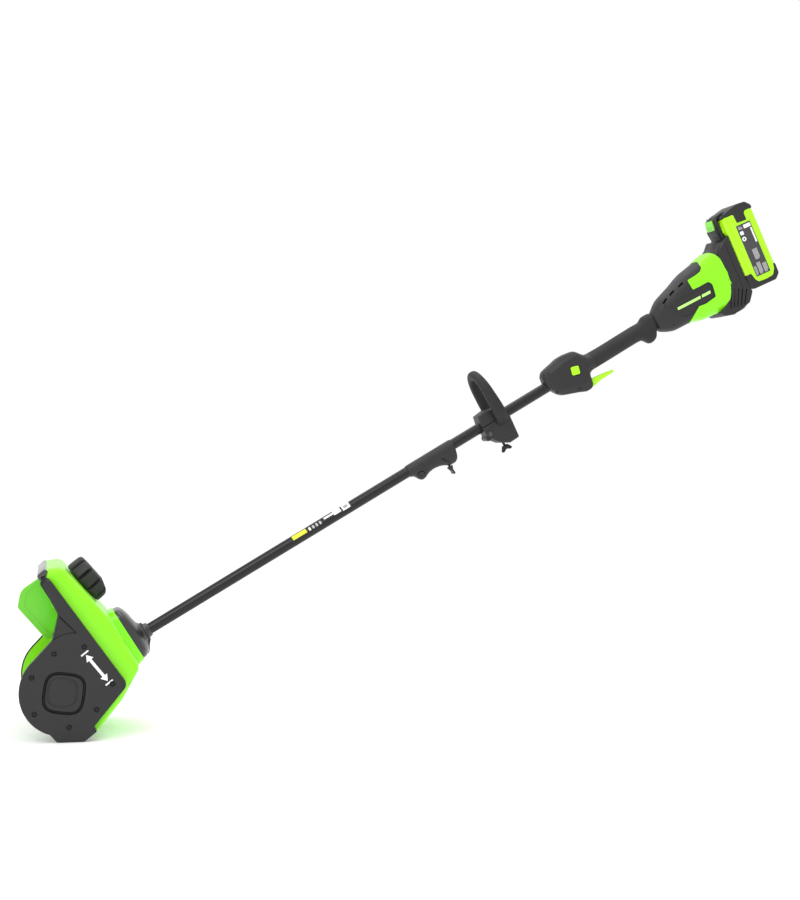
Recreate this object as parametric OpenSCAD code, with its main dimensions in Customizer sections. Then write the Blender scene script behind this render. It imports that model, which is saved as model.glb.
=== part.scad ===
// Cordless snow shovel with a split boom, in its working pose.
// +Z is up, -X is the snow side, +X the battery end, -Y the user's left.
// The origin is on the ground, under the rotor axis, in the middle of the head.

/* [Working head] */
// Height of the rotor axis above the ground
axis_h = 100; // [97:1:106]
// Clear width between the two walls of the hood
work_w = 290; // [270:1:320]
// Radius of the round end of the side plates
plate_r = 88; // [86:1:92]
// Radius of the rotor over its paddles
rotor_r = 84; // [76:1:85]
// Elevation of the deflector knob's axis above the horizontal
knob_tilt = 41; // [39:1:43]
// Radius of the deflector knob
knob_r = 49; // [38:1:50]

/* [Boom] */
// Angle of the boom above the ground in the working pose
pitch = 30.6; // [26:0.2:34]
// Outer radius of both boom tubes
tube_r = 12; // [11:0.5:12.5]
// Wall of both boom tubes
tube_wall = 1.5; // [1:0.1:2]
// Distance along the boom from the rotor axis to the split
split_s = 930; // [920:1:940]

/* [Handles] */
// Distance along the boom to the middle of the front handle
loop_s = 1108; // [1100:1:1130]
// Radius of the arch of the front handle, to the middle of its bar
loop_r = 46; // [42:1:50]
// Radius of the rear grip
grip_r = 19.5; // [17.5:0.5:20]

/* [Power unit] */
// Half width of the motor housing
motor_half = 42; // [40:1:46]
// Half width of the battery
batt_half = 45; // [43:1:48]
// Lean of the battery against the boom
batt_lean = 6.2; // [5:0.1:8]

/* [Hidden] */
$fn = 48;

black = [0.13, 0.13, 0.135];
green = [0.45, 0.93, 0.04];
pale_green = [0.55, 0.9, 0.32];
lime = [0.78, 0.97, 0.05];
steel = [0.62, 0.63, 0.65];
alloy = [0.75, 0.76, 0.78];

// ---- widths of the head, from the middle outwards ----
wall = 4;
wall_in = work_w / 2;
wall_out = wall_in + wall;
plate_out = wall_out + wall;
cover_out = plate_out + 20;
screw_head = 1.5;
bearing_out = plate_out + 2.5;

// ---- drive train ----
// Distance along the boom from the rotor axis to the cross shaft
apex_s = 98;
belt_w = 10;
belt_t = 2;
small_pulley_r = 9.5;
big_pulley_r = 28.5;
pulley_y = -(plate_out + 3 + belt_w);
cross_shaft_r = 4;
rotor_shaft_r = 6;
shaft_end = cover_out - 7;
// Running clearance of a shaft in a bush
fit = 0.05;
// Clearance between neighbours that move
gap = 0.4;
pinion_teeth = 12;
gear_teeth = 16;
shaft_r = 3.5;
square_w = 6;

// ---- places along the boom ----
tube_start = 140;
socket_s = 170;
collar_s = 209;
coupler_s = [872, 989];
trigger_s = [1236, 1351];
grip_s = [1351, 1508];
motor_s = [1538, 1700];
stator_s = [1600, 1650];
fan_s = [1656, 1668];
batt_c = [1800, 45];

// ---- small helpers ----
function unit(v) = v / norm(v);
function turn_to(a, b) = let (d = b - a) d > 180 ? d - 360 : d < -180 ? d + 360 : d;
// Points of the arc that rounds the corner at b with radius r
function corner(a, b, c, r, n) =
    r <= 0 ? [b] :
    let (
        u = unit(a - b),
        v = unit(c - b),
        half = acos(max(-1, min(1, u * v))) / 2,
        m = b + unit(u + v) * r / sin(half),
        p = b + u * r / tan(half) - m,
        q = b + v * r / tan(half) - m,
        start = atan2(p[1], p[0]),
        sweep = turn_to(start, atan2(q[1], q[0]))
    ) [for (i = [0 : n]) m + r * [cos(start + sweep * i / n), sin(start + sweep * i / n)]];
// A closed outline of [x, z, corner radius]
function rounded(pts, n = 5) = [
    for (i = [0 : len(pts) - 1])
        let (
            a = pts[(i + len(pts) - 1) % len(pts)],
            b = pts[i],
            c = pts[(i + 1) % len(pts)]
        )
        each corner([a[0], a[1]], [b[0], b[1]], [c[0], c[1]], b[2], n)
];
function arc(c, r, a0, a1, n) = [
    for (i = [0 : n]) c + r * [cos(a0 + (a1 - a0) * i / n), sin(a0 + (a1 - a0) * i / n)]
];

// Two circles and the belt line around them
module link(a, ra, b, rb) {
    d = norm(b - a);
    dir = atan2(b[1] - a[1], b[0] - a[0]);
    open = acos((ra - rb) / d);
    translate(a) circle(r = ra);
    translate(b) circle(r = rb);
    polygon([
        a + ra * [cos(dir + open), sin(dir + open)],
        a + ra * [cos(dir - open), sin(dir - open)],
        b + rb * [cos(dir - open), sin(dir - open)],
        b + rb * [cos(dir + open), sin(dir + open)]
    ]);
}
// One edge of a strip along a chain of points, at distance d
function edge(pts, d) = [
    for (i = [0 : len(pts) - 1])
        let (
            u = unit(pts[max(i, 1)] - pts[max(i, 1) - 1]),
            v = unit(pts[min(i, len(pts) - 2) + 1] - pts[min(i, len(pts) - 2)]),
            p = [u[1], -u[0]],
            m = unit(p + [v[1], -v[0]])
        )
        pts[i] + m * d / (m * p)
];
// A strip of thickness t along a chain of points
module strip(pts, t) {
    ends = edge(pts, -t / 2);
    polygon(concat(edge(pts, t / 2), [for (i = [len(ends) - 1 : -1 : 0]) ends[i]]));
}
// Stands a side outline up and gives it the width from y0 to y1
module slab(y0, y1) {
    translate([0, y1, 0]) rotate([90, 0, 0]) linear_extrude(y1 - y0) children();
}
// Local x runs along the boom from the rotor axis, local z square to it
module on_boom(s = 0, n = 0) {
    translate([0, 0, axis_h]) rotate([0, -pitch, 0]) translate([s, 0, n]) children();
}
// A cylinder along the boom from s0 to s1
module rod(s0, s1, r) {
    translate([s0, 0, 0]) rotate([0, 90, 0]) cylinder(h = s1 - s0, r = r);
}
module cone(s0, s1, r0, r1) {
    translate([s0, 0, 0]) rotate([0, 90, 0]) cylinder(h = s1 - s0, r1 = r0, r2 = r1);
}
// A cylinder along Y
module across(y0, y1, r, at = [0, 0]) {
    translate([at[0], y1, at[1]]) rotate([90, 0, 0]) cylinder(h = y1 - y0, r = r);
}
module ring_across(y0, y1, r, bore, at = [0, 0]) {
    difference() {
        across(y0, y1, r, at);
        across(y0 - 1, y1 + 1, bore, at);
    }
}
module ring_along(s0, s1, r, bore) {
    difference() {
        rod(s0, s1, r);
        rod(s0 - 1, s1 + 1, bore);
    }
}

// ---- outlines of the head, in X and Z ----
hub_at = [0, axis_h];
apex_at = [apex_s * cos(pitch), axis_h + apex_s * sin(pitch)];
plate_pts = [
    [-66, 158, 4], [-22, 206, 10], [-10, 258, 14], [-26, 288, 20], [-46, 320, 6], [-42, 334, 6],
    [-28, 331, 4], [130, 113.5, 15], [62, 30, 2], [68, 20, 3], [43, 0, 8], [-12, 0, 6], [-26, 16, 4],
    [-50, 80, 0]
];
module plate_outline() {
    polygon(rounded(plate_pts));
    translate(hub_at) circle(r = plate_r, $fn = 96);
}
skin_path = rounded([
    [57, 18, 0], [120, 80, 60], [155, 143, 16], [94, 244, 30], [-4, 352, 14], [-46, 343, 3], [-47, 338, 0]
]);
module wall_outline() {
    polygon(concat(
        [for (i = [1 : len(skin_path) - 2]) skin_path[i]],
        [[-50, 318], [-30, 288], [-14, 258], [-26, 207], [-70, 159], [-40, 40], [0, 20]]
    ));
    translate(hub_at) circle(r = plate_r - 4, $fn = 96);
}
liner_turn = 26.3;
liner_r = 90;
liner_path = concat(
    arc(hub_at, liner_r, -50, liner_turn, 14),
    [[-18, 340] + [0, 0]]
);
knob_foot = [40, 306];
module on_knob(t = 0) {
    translate([knob_foot[0], 0, knob_foot[1]]) rotate([0, 90 - knob_tilt, 0]) translate([0, 0, t])
        children();
}

// ---- fixed pieces of the head ----
module hood() {
    color(green) difference() {
        union() {
            slab(-wall_out, wall_out) strip([for (i = [0 : len(skin_path) - 2]) skin_path[i]], 3.5);
            for (y = [-wall_out, wall_in]) slab(y, y + wall) wall_outline();
            on_boom() pedestal();
            on_knob(-6) cylinder(h = 6.5, r = 40);
        }
        across(-wall_out - 1, wall_out + 1, 18, hub_at);
        across(-wall_out - 1, -wall_in + 1, 12, apex_at);
        on_knob(-50) cylinder(h = 80, r = 9);
        on_boom() rod(120, 240, 18);
    }
}
module pedestal() {
    intersection() {
        translate([138, -62, -48]) cube([28, 124, 122]);
        rod(130, 180, 78);
    }
}
module scoop_liner() {
    color(black) difference() {
        slab(-wall_in + gap, wall_in - gap) strip(liner_path, 3);
        across(-34, 34, 21, apex_at);
        on_boom() rod(apex_s, 240, 21);
        on_knob(-80) cylinder(h = 120, r = 12);
    }
}
module left_side_plate() {
    color(black) difference() {
        union() {
            slab(-plate_out, -wall_out) plate_outline();
            across(-bearing_out, -wall_out, 20, hub_at);
            across(-bearing_out, -wall_out, 12.3, apex_at);
        }
        across(-bearing_out - 1, -wall_out + 1, 14, hub_at);
        across(-bearing_out - 1, -wall_out + 1, 11, apex_at);
        for (p = screw_places) across(-plate_out - 1, -wall_out + 1, 1.6, p);
    }
}
module boss_outline(w) {
    polygon(rounded([
        for (a = [45 : 90 : 315]) [w * 1.3 * cos(a - 8), axis_h + w * 1.3 * sin(a - 8), w * 0.75]
    ], 8));
}
module right_side_plate() {
    color(black) difference() {
        union() {
            slab(wall_out, plate_out) plate_outline();
            slab(wall_out, plate_out + 7) boss_outline(33);
        }
        across(wall_out - 1, bearing_out, 14, hub_at);
        for (p = screw_places) across(wall_out - 1, plate_out + 1, 1.6, p);
    }
}
// Moves every corner of a clockwise outline of [x, z, corner radius] inwards by d
function inset(pts, d) = [
    for (i = [0 : len(pts) - 1])
        let (
            a = pts[(i + len(pts) - 1) % len(pts)],
            b = pts[i],
            c = pts[(i + 1) % len(pts)],
            u = unit([b[0] - a[0], b[1] - a[1]]),
            v = unit([c[0] - b[0], c[1] - b[1]]),
            p = [u[1], -u[0]],
            m = unit(p + [v[1], -v[0]])
        )
        [b[0] + m[0] * d / (m * p), b[1] + m[1] * d / (m * p), max(0, b[2] - d / 2)]
];
// The drive cover is a hollow tray over the belt, with a recess between its arm and its round end
cover_face = cover_out - 3;
cover_wall = 3;
cover_notch = [[-7, 253, 2], [24, 223, 3], [6, 220, 4], [-12, 213, 4], [-18, 210, 1]];
module drive_cover() {
    color(black) difference() {
        union() {
            difference() {
                union() {
                    slab(-cover_face, -plate_out) plate_outline();
                    slab(-cover_out, -cover_face) boss_outline(33);
                }
                slab(-cover_face + cover_wall, -plate_out + 1) union() {
                    polygon(rounded(inset(plate_pts, cover_wall)));
                    translate(hub_at) circle(r = plate_r - cover_wall, $fn = 96);
                }
            }
            for (p = screw_places) across(-cover_face + 1, -plate_out, 4.5, p);
            slab(-cover_face, -cover_face + 6) polygon(rounded(cover_notch));
        }
        slab(-cover_out, -cover_face + 3) polygon(rounded(cover_notch));
        for (p = screw_places) across(-cover_face - 1, -plate_out + 1, 1.6, p);
    }
}
// The screws sit on one ring near the edge of the side plates
screw_places = [
    [-18, 180], [-62, 133], [-57, 59], [12, 31], [67, 65], [99, 116], [42, 193]
];
module side_screws() {
    color(steel) for (p = screw_places) {
        across(-cover_face - screw_head, -cover_face, 4, p);
        across(-cover_face, -wall_out, 1.5, p);
        across(plate_out, plate_out + screw_head, 4, p);
        across(wall_out, plate_out, 1.5, p);
    }
}
module scraper_blade() {
    color(steel) slab(-wall_out + fit, wall_out - fit) polygon([[40, 7], [42, 4], [54.6, 15.4], [53.2, 17.6]]);
}
module rotor_bearings() {
    color(steel) for (y = [-bearing_out, wall_out])
        ring_across(y, y + bearing_out - wall_out, 14, rotor_shaft_r + fit, hub_at);
}
module drive_belt() {
    color([0.08, 0.08, 0.08]) difference() {
        slab(pulley_y, pulley_y + belt_w)
            link(hub_at, big_pulley_r + gap + belt_t, apex_at, small_pulley_r + gap + belt_t);
        slab(pulley_y - 1, pulley_y + belt_w + 1)
            link(hub_at, big_pulley_r + gap, apex_at, small_pulley_r + gap);
    }
}
gear_r = 12;
pinion_r = 9;
module gearbox_housing() {
    color(alloy) difference() {
        union() {
            on_boom(apex_s) across(-30, 26, 17);
            on_boom() rod(apex_s, 168, 16.5);
        }
        on_boom(apex_s) across(-22, 18, 14.2);
        on_boom(apex_s) across(-31, 27, 11);
        on_boom() rod(apex_s, 116, 11);
        on_boom() rod(115, 125, 9.5);
        on_boom() rod(124, 170, tube_r);
    }
}
module cross_shaft_bearings() {
    color(steel) on_boom(apex_s) for (y = [-29, 18]) ring_across(y, y + 7, 11, cross_shaft_r + fit);
    color(steel) ring_across(-bearing_out, -wall_out, 11, cross_shaft_r + fit, apex_at);
}
module pinion_bearing() {
    color(steel) on_boom() ring_along(117, 124, 9.5, shaft_r + fit);
}
module boom_socket() {
    color(black) difference() {
        on_boom() union() {
            hull() {
                translate([socket_s - 4, -59, -45]) cube([8, 118, 117]);
                translate([socket_s + 14, -44, -39]) cube([2, 88, 97]);
                rod(collar_s - 14, collar_s - 10, 22);
            }
            rod(collar_s - 12, collar_s, 17);
            translate([collar_s - 28, -11, -40]) cube([20, 22, 24]);
        }
        on_boom() rod(100, 300, tube_r);
        on_boom() rod(100, 170, 18);
        on_boom() translate([collar_s - 26, -1, -60]) cube([30, 2, 60]);
        on_boom() for (n = [-24, -35]) across(-40, 40, 2 + fit, [collar_s - 16, n]);
        on_boom() for (n = [-24, -35], y = [-40, 11]) across(y, y + 29, 4.6, [collar_s - 16, n]);
    }
}
module socket_bolts() {
    color(steel) on_boom() for (n = [-24, -35]) translate([0, 0, n]) {
        across(-14.5, -11, 4.2, [collar_s - 16, 0]);
        across(-11, 11, 2, [collar_s - 16, 0]);
        across(11, 14, 4.2, [collar_s - 16, 0]);
    }
}
module lower_tube() {
    color(black) on_boom() ring_along(tube_start, split_s, tube_r, tube_r - tube_wall);
}
module lower_shaft_bushes() {
    color([0.85, 0.85, 0.8]) on_boom() for (s = [220, 540, 880])
        ring_along(s, s + 14, tube_r - tube_wall, shaft_r + fit);
}
module deflector_bush() {
    color([0.85, 0.85, 0.8]) on_knob() difference() {
        union() {
            translate([0, 0, -12]) cylinder(h = 12.7, r = 9);
            translate([0, 0, 0.6]) cylinder(h = 1, r = 14);
        }
        translate([0, 0, -20]) cylinder(h = 40, r = 6 + fit);
    }
}

// ---- rotor ----
module rotor_shaft() {
    color(steel) across(-shaft_end, bearing_out, rotor_shaft_r, hub_at);
}
module rotor_hub() {
    color(black) difference() {
        union() {
            across(-138, 138, 15, hub_at);
            for (y = [-138, -35, 32, 135]) across(y, y + 3, y == -138 || y == 135 ? 52 : 40, hub_at);
        }
        across(-140, 140, rotor_shaft_r, hub_at);
    }
}
// One curved blade, from the hub to radius r
module blade(r) {
    intersection() {
        difference() {
            translate([0, 45]) circle(r = 47, $fn = 96);
            translate([0, 45]) circle(r = 43, $fn = 96);
        }
        circle(r = r, $fn = 96);
        translate([8, -10]) square([100, 120]);
    }
}
module rotor_paddles() {
    color(black) translate([0, 0, axis_h]) difference() {
        for (half = [0, 1], turn = [0, 180])
            slab(half ? 36 : -134.5, half ? 134.5 : -36) rotate(turn + 25) blade(rotor_r - 6);
        across(-140, 140, 15);
    }
}
module wear_strips() {
    color([0.3, 0.3, 0.31]) translate([0, 0, axis_h])
        for (y = [-134, 37], turn = [0, 180])
            slab(y, y + 97) rotate(turn + 25) difference() {
                blade(rotor_r);
                circle(r = rotor_r - 6, $fn = 96);
            }
}
module driven_pulley() {
    color(alloy) difference() {
        across(pulley_y + 0.5, pulley_y + belt_w - 0.5, big_pulley_r, hub_at);
        across(pulley_y - 1, pulley_y + belt_w + 1, rotor_shaft_r, hub_at);
        for (a = [0 : 60 : 300])
            across(pulley_y - 1, pulley_y + belt_w + 1, 5.5, hub_at + 17.5 * [cos(a), sin(a)]);
        for (i = [0 : 41]) translate([0, 0, axis_h]) rotate([0, i * 360 / 42, 0])
            translate([big_pulley_r - 0.7, pulley_y - 1, -0.8]) cube([2, belt_w + 2, 1.6]);
    }
}

// ---- cross shaft ----
module cross_shaft() {
    color(steel) across(-shaft_end, 25, cross_shaft_r, apex_at);
}
module bevel_teeth(count, half_angle, len, r_tip) {
    for (i = [0 : count - 1]) rotate([0, 0, i * 360 / count])
        rotate([0, half_angle, 0]) translate([-1.1, -0.5, 0]) cube([3, 1.0, len]);
}
bevel_gap = 1.2;
pinion_angle = atan(pinion_r / gear_r) - bevel_gap;
gear_angle = atan(gear_r / pinion_r) - bevel_gap;
module bevel_gear() {
    color(steel) on_boom(apex_s) rotate([90, 0, 0]) difference() {
        union() {
            translate([0, 0, 6]) cylinder(h = 3, r1 = 6 * tan(gear_angle), r2 = 9 * tan(gear_angle));
            translate([0, 0, 9]) cylinder(h = 2, r1 = 9 * tan(gear_angle), r2 = 10);
            cylinder(h = 20, r = 6.5);
        }
        translate([0, 0, -1]) cylinder(h = 30, r = cross_shaft_r);
        translate([0, 0, -2]) cylinder(h = 6, r = 20);
        bevel_teeth(gear_teeth, gear_angle, 15);
    }
}
module drive_pulley() {
    color(alloy) difference() {
        across(pulley_y + 0.5, pulley_y + belt_w - 0.5, small_pulley_r, apex_at);
        across(pulley_y - 1, pulley_y + belt_w + 1, cross_shaft_r, apex_at);
        for (i = [0 : 13]) translate([apex_at[0], 0, apex_at[1]]) rotate([0, i * 360 / 14, 0])
            translate([small_pulley_r - 0.7, pulley_y - 1, -0.8]) cube([2, belt_w + 2, 1.6]);
    }
}

// ---- lower drive shaft ----
module lower_drive_shaft() {
    color(steel) on_boom() {
        rod(apex_s + 6, split_s + 4, shaft_r);
        translate([split_s + 4, -square_w / 2, -square_w / 2]) cube([16, square_w, square_w]);
    }
}
module bevel_pinion() {
    color(steel) on_boom(apex_s) rotate([0, 90, 0]) difference() {
        union() {
            translate([0, 0, 8]) cylinder(h = 4, r1 = 8 * tan(pinion_angle), r2 = 12 * tan(pinion_angle));
            translate([0, 0, 12]) cylinder(h = 2, r1 = 12 * tan(pinion_angle), r2 = 7);
            translate([0, 0, 14]) cylinder(h = 4.5, r = 6);
        }
        translate([0, 0, 5]) cylinder(h = 30, r = shaft_r);
        bevel_teeth(pinion_teeth, pinion_angle, 15);
    }
}

// ---- deflector ----
knob_h = 38;
knob_z = 2;
module deflector_knob() {
    color(black) on_knob(knob_z) difference() {
        union() {
            cylinder(h = 8, r = knob_r - 3);
            translate([0, 0, 4]) cylinder(h = knob_h - 4, r = knob_r);
        }
        for (a = [0 : 45 : 315]) rotate([0, 0, a + 22.5]) translate([knob_r + 5, 0, 7])
            cylinder(h = knob_h, r = 9);
        translate([0, 0, -1]) cylinder(h = knob_h - 6, r = 6);
        translate([0, 0, knob_h - 5]) cylinder(h = 10, r = 8);
        translate([0, 0, -1]) cylinder(h = knob_h, r = 3);
    }
}
module deflector_spindle() {
    color(steel) on_knob(-60) cylinder(h = 92, r = 6);
}
vane_pts = [
    [-62, -44, 4], [-46, 20, 4], [-47, 58, 10], [-58, 70, 16], [-102, 75, 30], [-131, 52, 12], [-131, -38, 10],
    [-116, -47, 10]
];
module deflector_vane() {
    color(pale_green) on_knob() difference() {
        union() {
            rotate([90, 0, 0]) translate([0, 0, -2.5]) linear_extrude(5)
                polygon(rounded([for (p = vane_pts) [-p[1], p[0], p[2]]]));
            translate([0, 0, -76]) cylinder(h = 30, r = 10);
        }
        translate([0, 0, -60]) cylinder(h = 30, r = 6);
    }
}
module knob_screw() {
    color(steel) on_knob(knob_z + knob_h - 5) {
        cylinder(h = 3, r = 6);
        translate([0, 0, -3]) cylinder(h = 3, r = 2.5);
    }
}

// ---- boom, upper half ----
coupler_pts = [
    [876, -8, 0], [880, -30, 8], [905, -31, 10], [922, -24, 20], [942, -26, 20], [956, -33, 6],
    [974, -37, 10], [987, -30, 5], [989, -8, 0]
];
button_at = [893, -20];
module coupler() {
    color(black) on_boom() difference() {
        union() {
            rod(coupler_s[0], coupler_s[1], tube_r + 2.2);
            slab(-10, 10) polygon(rounded(coupler_pts));
            across(-15, 15, 15, [891, -17]);
            across(-13, 13, 14, [971, -20]);
        }
        rod(coupler_s[0] - 1, coupler_s[1] + 1, tube_r + fit);
        across(-16, -6, 9, button_at);
        translate([960, 0, -60]) cylinder(h = 44, r = 3.1);
    }
}
module upper_tube() {
    color(black) on_boom() ring_along(split_s + 1, motor_s[0] + 22, tube_r, tube_r - tube_wall);
}
module upper_shaft_bushes() {
    color([0.85, 0.85, 0.8]) on_boom() for (s = [990, 1200, 1520])
        ring_along(s, s + 14, tube_r - tube_wall, shaft_r + fit);
}

// ---- trigger housing and rear grip ----
handle_pts = [
    [1242, 6, 0], [1243, 26, 5], [1252, 37, 6], [1300, 45, 30], [1333, 41, 10], [1350, 19, 10], [1352, 19, 0],
    [1352, -19, 0], [1343, -22, 4], [1338, -52, 5], [1322, -55, 8], [1264, -34, 14], [1248, -10, 5]
];
handle_screws = [[1258, 26], [1256, -20], [1306, -42]];
motor_screws = [[1575, 24], [1575, -26]];
// Holes for the screws that join two halves of a housing
module screw_holes(places) {
    for (p = places) {
        across(-60, -16, 3.6, p);
        across(-17, 12.5, 1.7, p);
    }
}
module handle_half(side) {
    color(black) on_boom() difference() {
        intersection() {
            slab(side < 0 ? -24 : 0, side < 0 ? 0 : 24) polygon(rounded(handle_pts));
            rotate([0, 90, 0]) translate([0, 0, 1230]) scale([2.4, 1, 1]) cylinder(h = 130, r = 24);
        }
        rod(1230, 1360, tube_r);
        slab(-9, 9) polygon(trigger_room);
        slab(-20, 20) polygon([[1296, -14], [1336, -14], [1336, 14], [1296, 14]]);
        translate([1297.5, -7.5, -34.5]) cube([15, 15, 22]);
        across(-14, 14, 2.5, trigger_pivot);
        screw_holes(handle_screws);
        if (side < 0) slab(-30, -19) polygon(rounded([
            [1305, -10.5, 4], [1305, 11, 4], [1326.5, 11, 4], [1326.5, -10.5, 4]]));
    }
}
trigger_pivot = [1326, -38];
trigger_room = [[1290, -20], [1345, -20], [1345, -56], [1312, -58], [1290, -34]];
module handle_shell_left() {
    handle_half(-1);
}
module handle_shell_right() {
    handle_half(1);
}
neck_r = 14;
neck_end = 1552;
module rear_grip() {
    color(black) on_boom() difference() {
        union() {
            rod(1352, 1510, grip_r);
            rod(1500, neck_end, neck_r);
            slab(-17, 17) polygon(rounded([
                [1482, 17, 0], [1508, 18, 6], [1518, 25, 6], [1536, 24, 5], [1536, -14, 4],
                [1531, -34, 4], [1508, -37, 5], [1494, -20, 8], [1482, -17, 0]
            ]));
        }
        rod(1300, 1600, tube_r);
    }
}
module trigger_switch() {
    color([0.1, 0.1, 0.1]) on_boom() difference() {
        translate([1298, -7, -34]) cube([14, 14, 14]);
        translate([1290, -20, -21]) cube([30, 40, 2]);
    }
}

// ---- motor housing ----
motor_pts = [
    [1538, 19, 4], [1563, 41, 14], [1676, 66, 14], [1724, 76, 8], [1741, 97, 6], [1746, 97, 0],
    [1746, -80, 0], [1708, -80, 10], [1690, -63, 10], [1618, -44, 20], [1560, -38, 8], [1538, -23, 5]
];
module motor_plan(inset) {
    polygon(rounded([
        [1530, -22 + inset, 0], [1542, -24 + inset, 6], [1600, -motor_half + inset, 30],
        [1752, -motor_half + inset, 0], [1752, motor_half - inset, 0], [1600, motor_half - inset, 30],
        [1542, 24 - inset, 6], [1530, 22 - inset, 0]
    ]));
}
module motor_block(inset) {
    intersection() {
        slab(-60, 60) polygon(rounded(motor_pts));
        translate([0, 0, -100]) linear_extrude(220) motor_plan(inset);
    }
}
module motor_cavity() {
    rod(1560, 1600, 24);
    rod(1596, 1744, 31);
    translate([1690, -32, -56]) cube([60, 64, 116]);
}
// Where the green trim covers the housing
trim_pts = [
    [1614, -60, 0], [1664, -30, 3], [1700, -30, 10], [1700, 6, 10], [1640, 0, 4], [1646, 26, 3], [1684, 46, 8],
    [1700, 110, 0], [1726, 110, 0], [1724, 72, 0], [1716, -20, 30], [1690, -90, 0]
];
module trim_zone() {
    slab(-70, 70) polygon(rounded(trim_pts));
}
module motor_half_shell(side) {
    color(black) on_boom() difference() {
        intersection() {
            motor_block(0);
            translate([1500, side < 0 ? -70 : 0, -100]) cube([300, 70, 240]);
        }
        motor_cavity();
        rod(1530, neck_end, neck_r);
        rod(1530, 1562, tube_r);
        screw_holes(motor_screws);
        difference() {
            trim_zone();
            motor_block(2);
        }
        for (i = [0 : 2]) translate([1584 + 24 * i, 0, 44 + 5 * i]) rotate([0, -12, 0])
            translate([0, -50, 0]) cube([9 + i, 100, 3]);
    }
}
module motor_shell_left() {
    motor_half_shell(-1);
}
module motor_shell_right() {
    motor_half_shell(1);
}
module motor_trim() {
    color(green) on_boom() difference() {
        intersection() {
            motor_block(0);
            trim_zone();
        }
        motor_block(2);
    }
}
module housing_screws() {
    color(steel) on_boom() for (p = concat(handle_screws, motor_screws)) {
        across(-16, 12, 1.6, p);
        across(-18, -16, 3.4, p);
    }
}
module motor_stator() {
    color([0.55, 0.35, 0.2]) on_boom() ring_along(stator_s[0], stator_s[1], 31, 16);
}
module motor_bearings() {
    color(steel) on_boom() {
        ring_along(1588, 1596, 24, shaft_r + fit);
        ring_along(1674, 1682, 31, shaft_r + fit);
    }
}
module controller_board() {
    color([0.05, 0.3, 0.12]) on_boom() {
        translate([1696, -30, -50]) cube([2, 60, 106]);
        translate([1698, -20, -30]) cube([12, 40, 24]);
        for (y = [-14, 14]) translate([1698, y, 20]) rotate([0, 90, 0]) cylinder(h = 20, r = 8);
    }
}

// ---- battery and dock ----
module on_battery() {
    on_boom(batt_c[0], batt_c[1]) rotate([0, batt_lean, 0]) children();
}
dock_pts = [
    [-52, 33, 14], [-37.5, 43, 6], [-36, 58, 2], [-34.6, 61, 2], [-34.6, 94, 0.5], [-31, 94, 0], [-22, 40, 0],
    [-20, -60, 0], [-19, -99.5, 2], [-25, -107, 6], [-36, -120.5, 5], [-58, -126, 10], [-82, -131, 10],
    [-98, -125, 10], [-79, -94, 20], [-63, -60, 20], [-62, -20, 0]
];
// The narrow block in front of the battery that holds the latch
block_half = 24;
latch_half = 20;
latch_block_pts = [
    [-37.3, 42, 3], [-39.8, 56, 2], [-39.8, 60, 1], [-36.5, 67, 3], [-35, 80, 4], [-34, 94, 0.5], [-32.2, 94, 0],
    [-32.2, 42, 0]
];
module battery_dock() {
    color(black) difference() {
        on_battery() union() {
            slab(-batt_half, batt_half) polygon(rounded(dock_pts));
            slab(-block_half, block_half) polygon(rounded(latch_block_pts));
        }
        on_boom() translate([1600, -60, -160]) cube([146, 120, 257.5]);
        on_battery() translate([-60, -latch_half - 1, 60.3]) cube([30, 2 * latch_half + 2, 29.7]);
        on_battery() translate([-34, -24, -30]) cube([20, 48, 60]);
        on_battery() slab(-60, 60) polygon([
            [-22.3, -98.2], [-22.3, 38.2], [-32, 45], [-32, 120], [62, 120], [62, -98.2]]);
    }
}
module dock_terminals() {
    color([0.85, 0.6, 0.25]) on_battery() for (y = [-15, -5, 5, 15])
        translate([-34, y - 0.8, -20]) cube([12, 1.6, 30]);
}
case_pts = [
    [-22, -90, 4], [-22, 38.5, 3], [-31.6, 45.4, 3], [-31.6, 68, 6], [-26, 84, 4], [-24.5, 95.5, 4], [8, 97.4, 20],
    [27, 98.8, 12], [46, 95.5, 10], [58, 82, 7], [58, -86, 10], [46, -97.8, 8], [-12, -97.4, 6]
];
module battery_case() {
    color(lime) on_battery() difference() {
        slab(-batt_half, batt_half) polygon(rounded(case_pts));
        slab(-batt_half + 3, batt_half - 3) polygon([[-14, -84], [-14, 84], [46, 84], [46, -84]]);
        translate([-40, -19, -100]) cube([20, 38, 124]);
    }
}
cell_r = 10.4;
module battery_cells() {
    color([0.25, 0.45, 0.75]) on_battery() for (row = [0, 1], i = [0 : 6])
        translate([2.5 + 25 * row, 36, -72 + 24 * i]) rotate([90, 0, 0]) cylinder(h = 72, r = cell_r);
}
module battery_latch() {
    color(green) on_battery() slab(-latch_half, latch_half) polygon(rounded([
        [-38.9, 60.8, 2], [-39.4, 70, 6], [-37.8, 80, 8], [-36, 89.5, 1], [-34.3, 89.5, 0.4], [-34.3, 60.8, 0.4]
    ]));
}

// ---- upper shaft, motor rotor and fan ----
module upper_drive_shaft() {
    color(steel) on_boom() difference() {
        union() {
            rod(split_s + 5, split_s + 30, 7);
            rod(split_s + 29, 1684, shaft_r);
        }
        translate([split_s, -square_w / 2 - gap, -square_w / 2 - gap])
            cube([24, square_w + 2 * gap, square_w + 2 * gap]);
    }
}
module motor_rotor() {
    color([0.4, 0.4, 0.42]) on_boom() ring_along(stator_s[0] + 1, stator_s[1] - 1, 15.4, shaft_r);
}
module cooling_fan() {
    color([0.12, 0.12, 0.12]) on_boom() difference() {
        union() {
            rod(fan_s[0], fan_s[1], 9);
            rod(fan_s[0], fan_s[0] + 2, 27);
            for (a = [0 : 40 : 320]) rotate([a, 0, 0]) translate([fan_s[0] + 1, -1, 7])
                cube([fan_s[1] - fan_s[0] - 2, 2, 20]);
        }
        rod(1600, 1700, shaft_r);
    }
}

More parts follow.
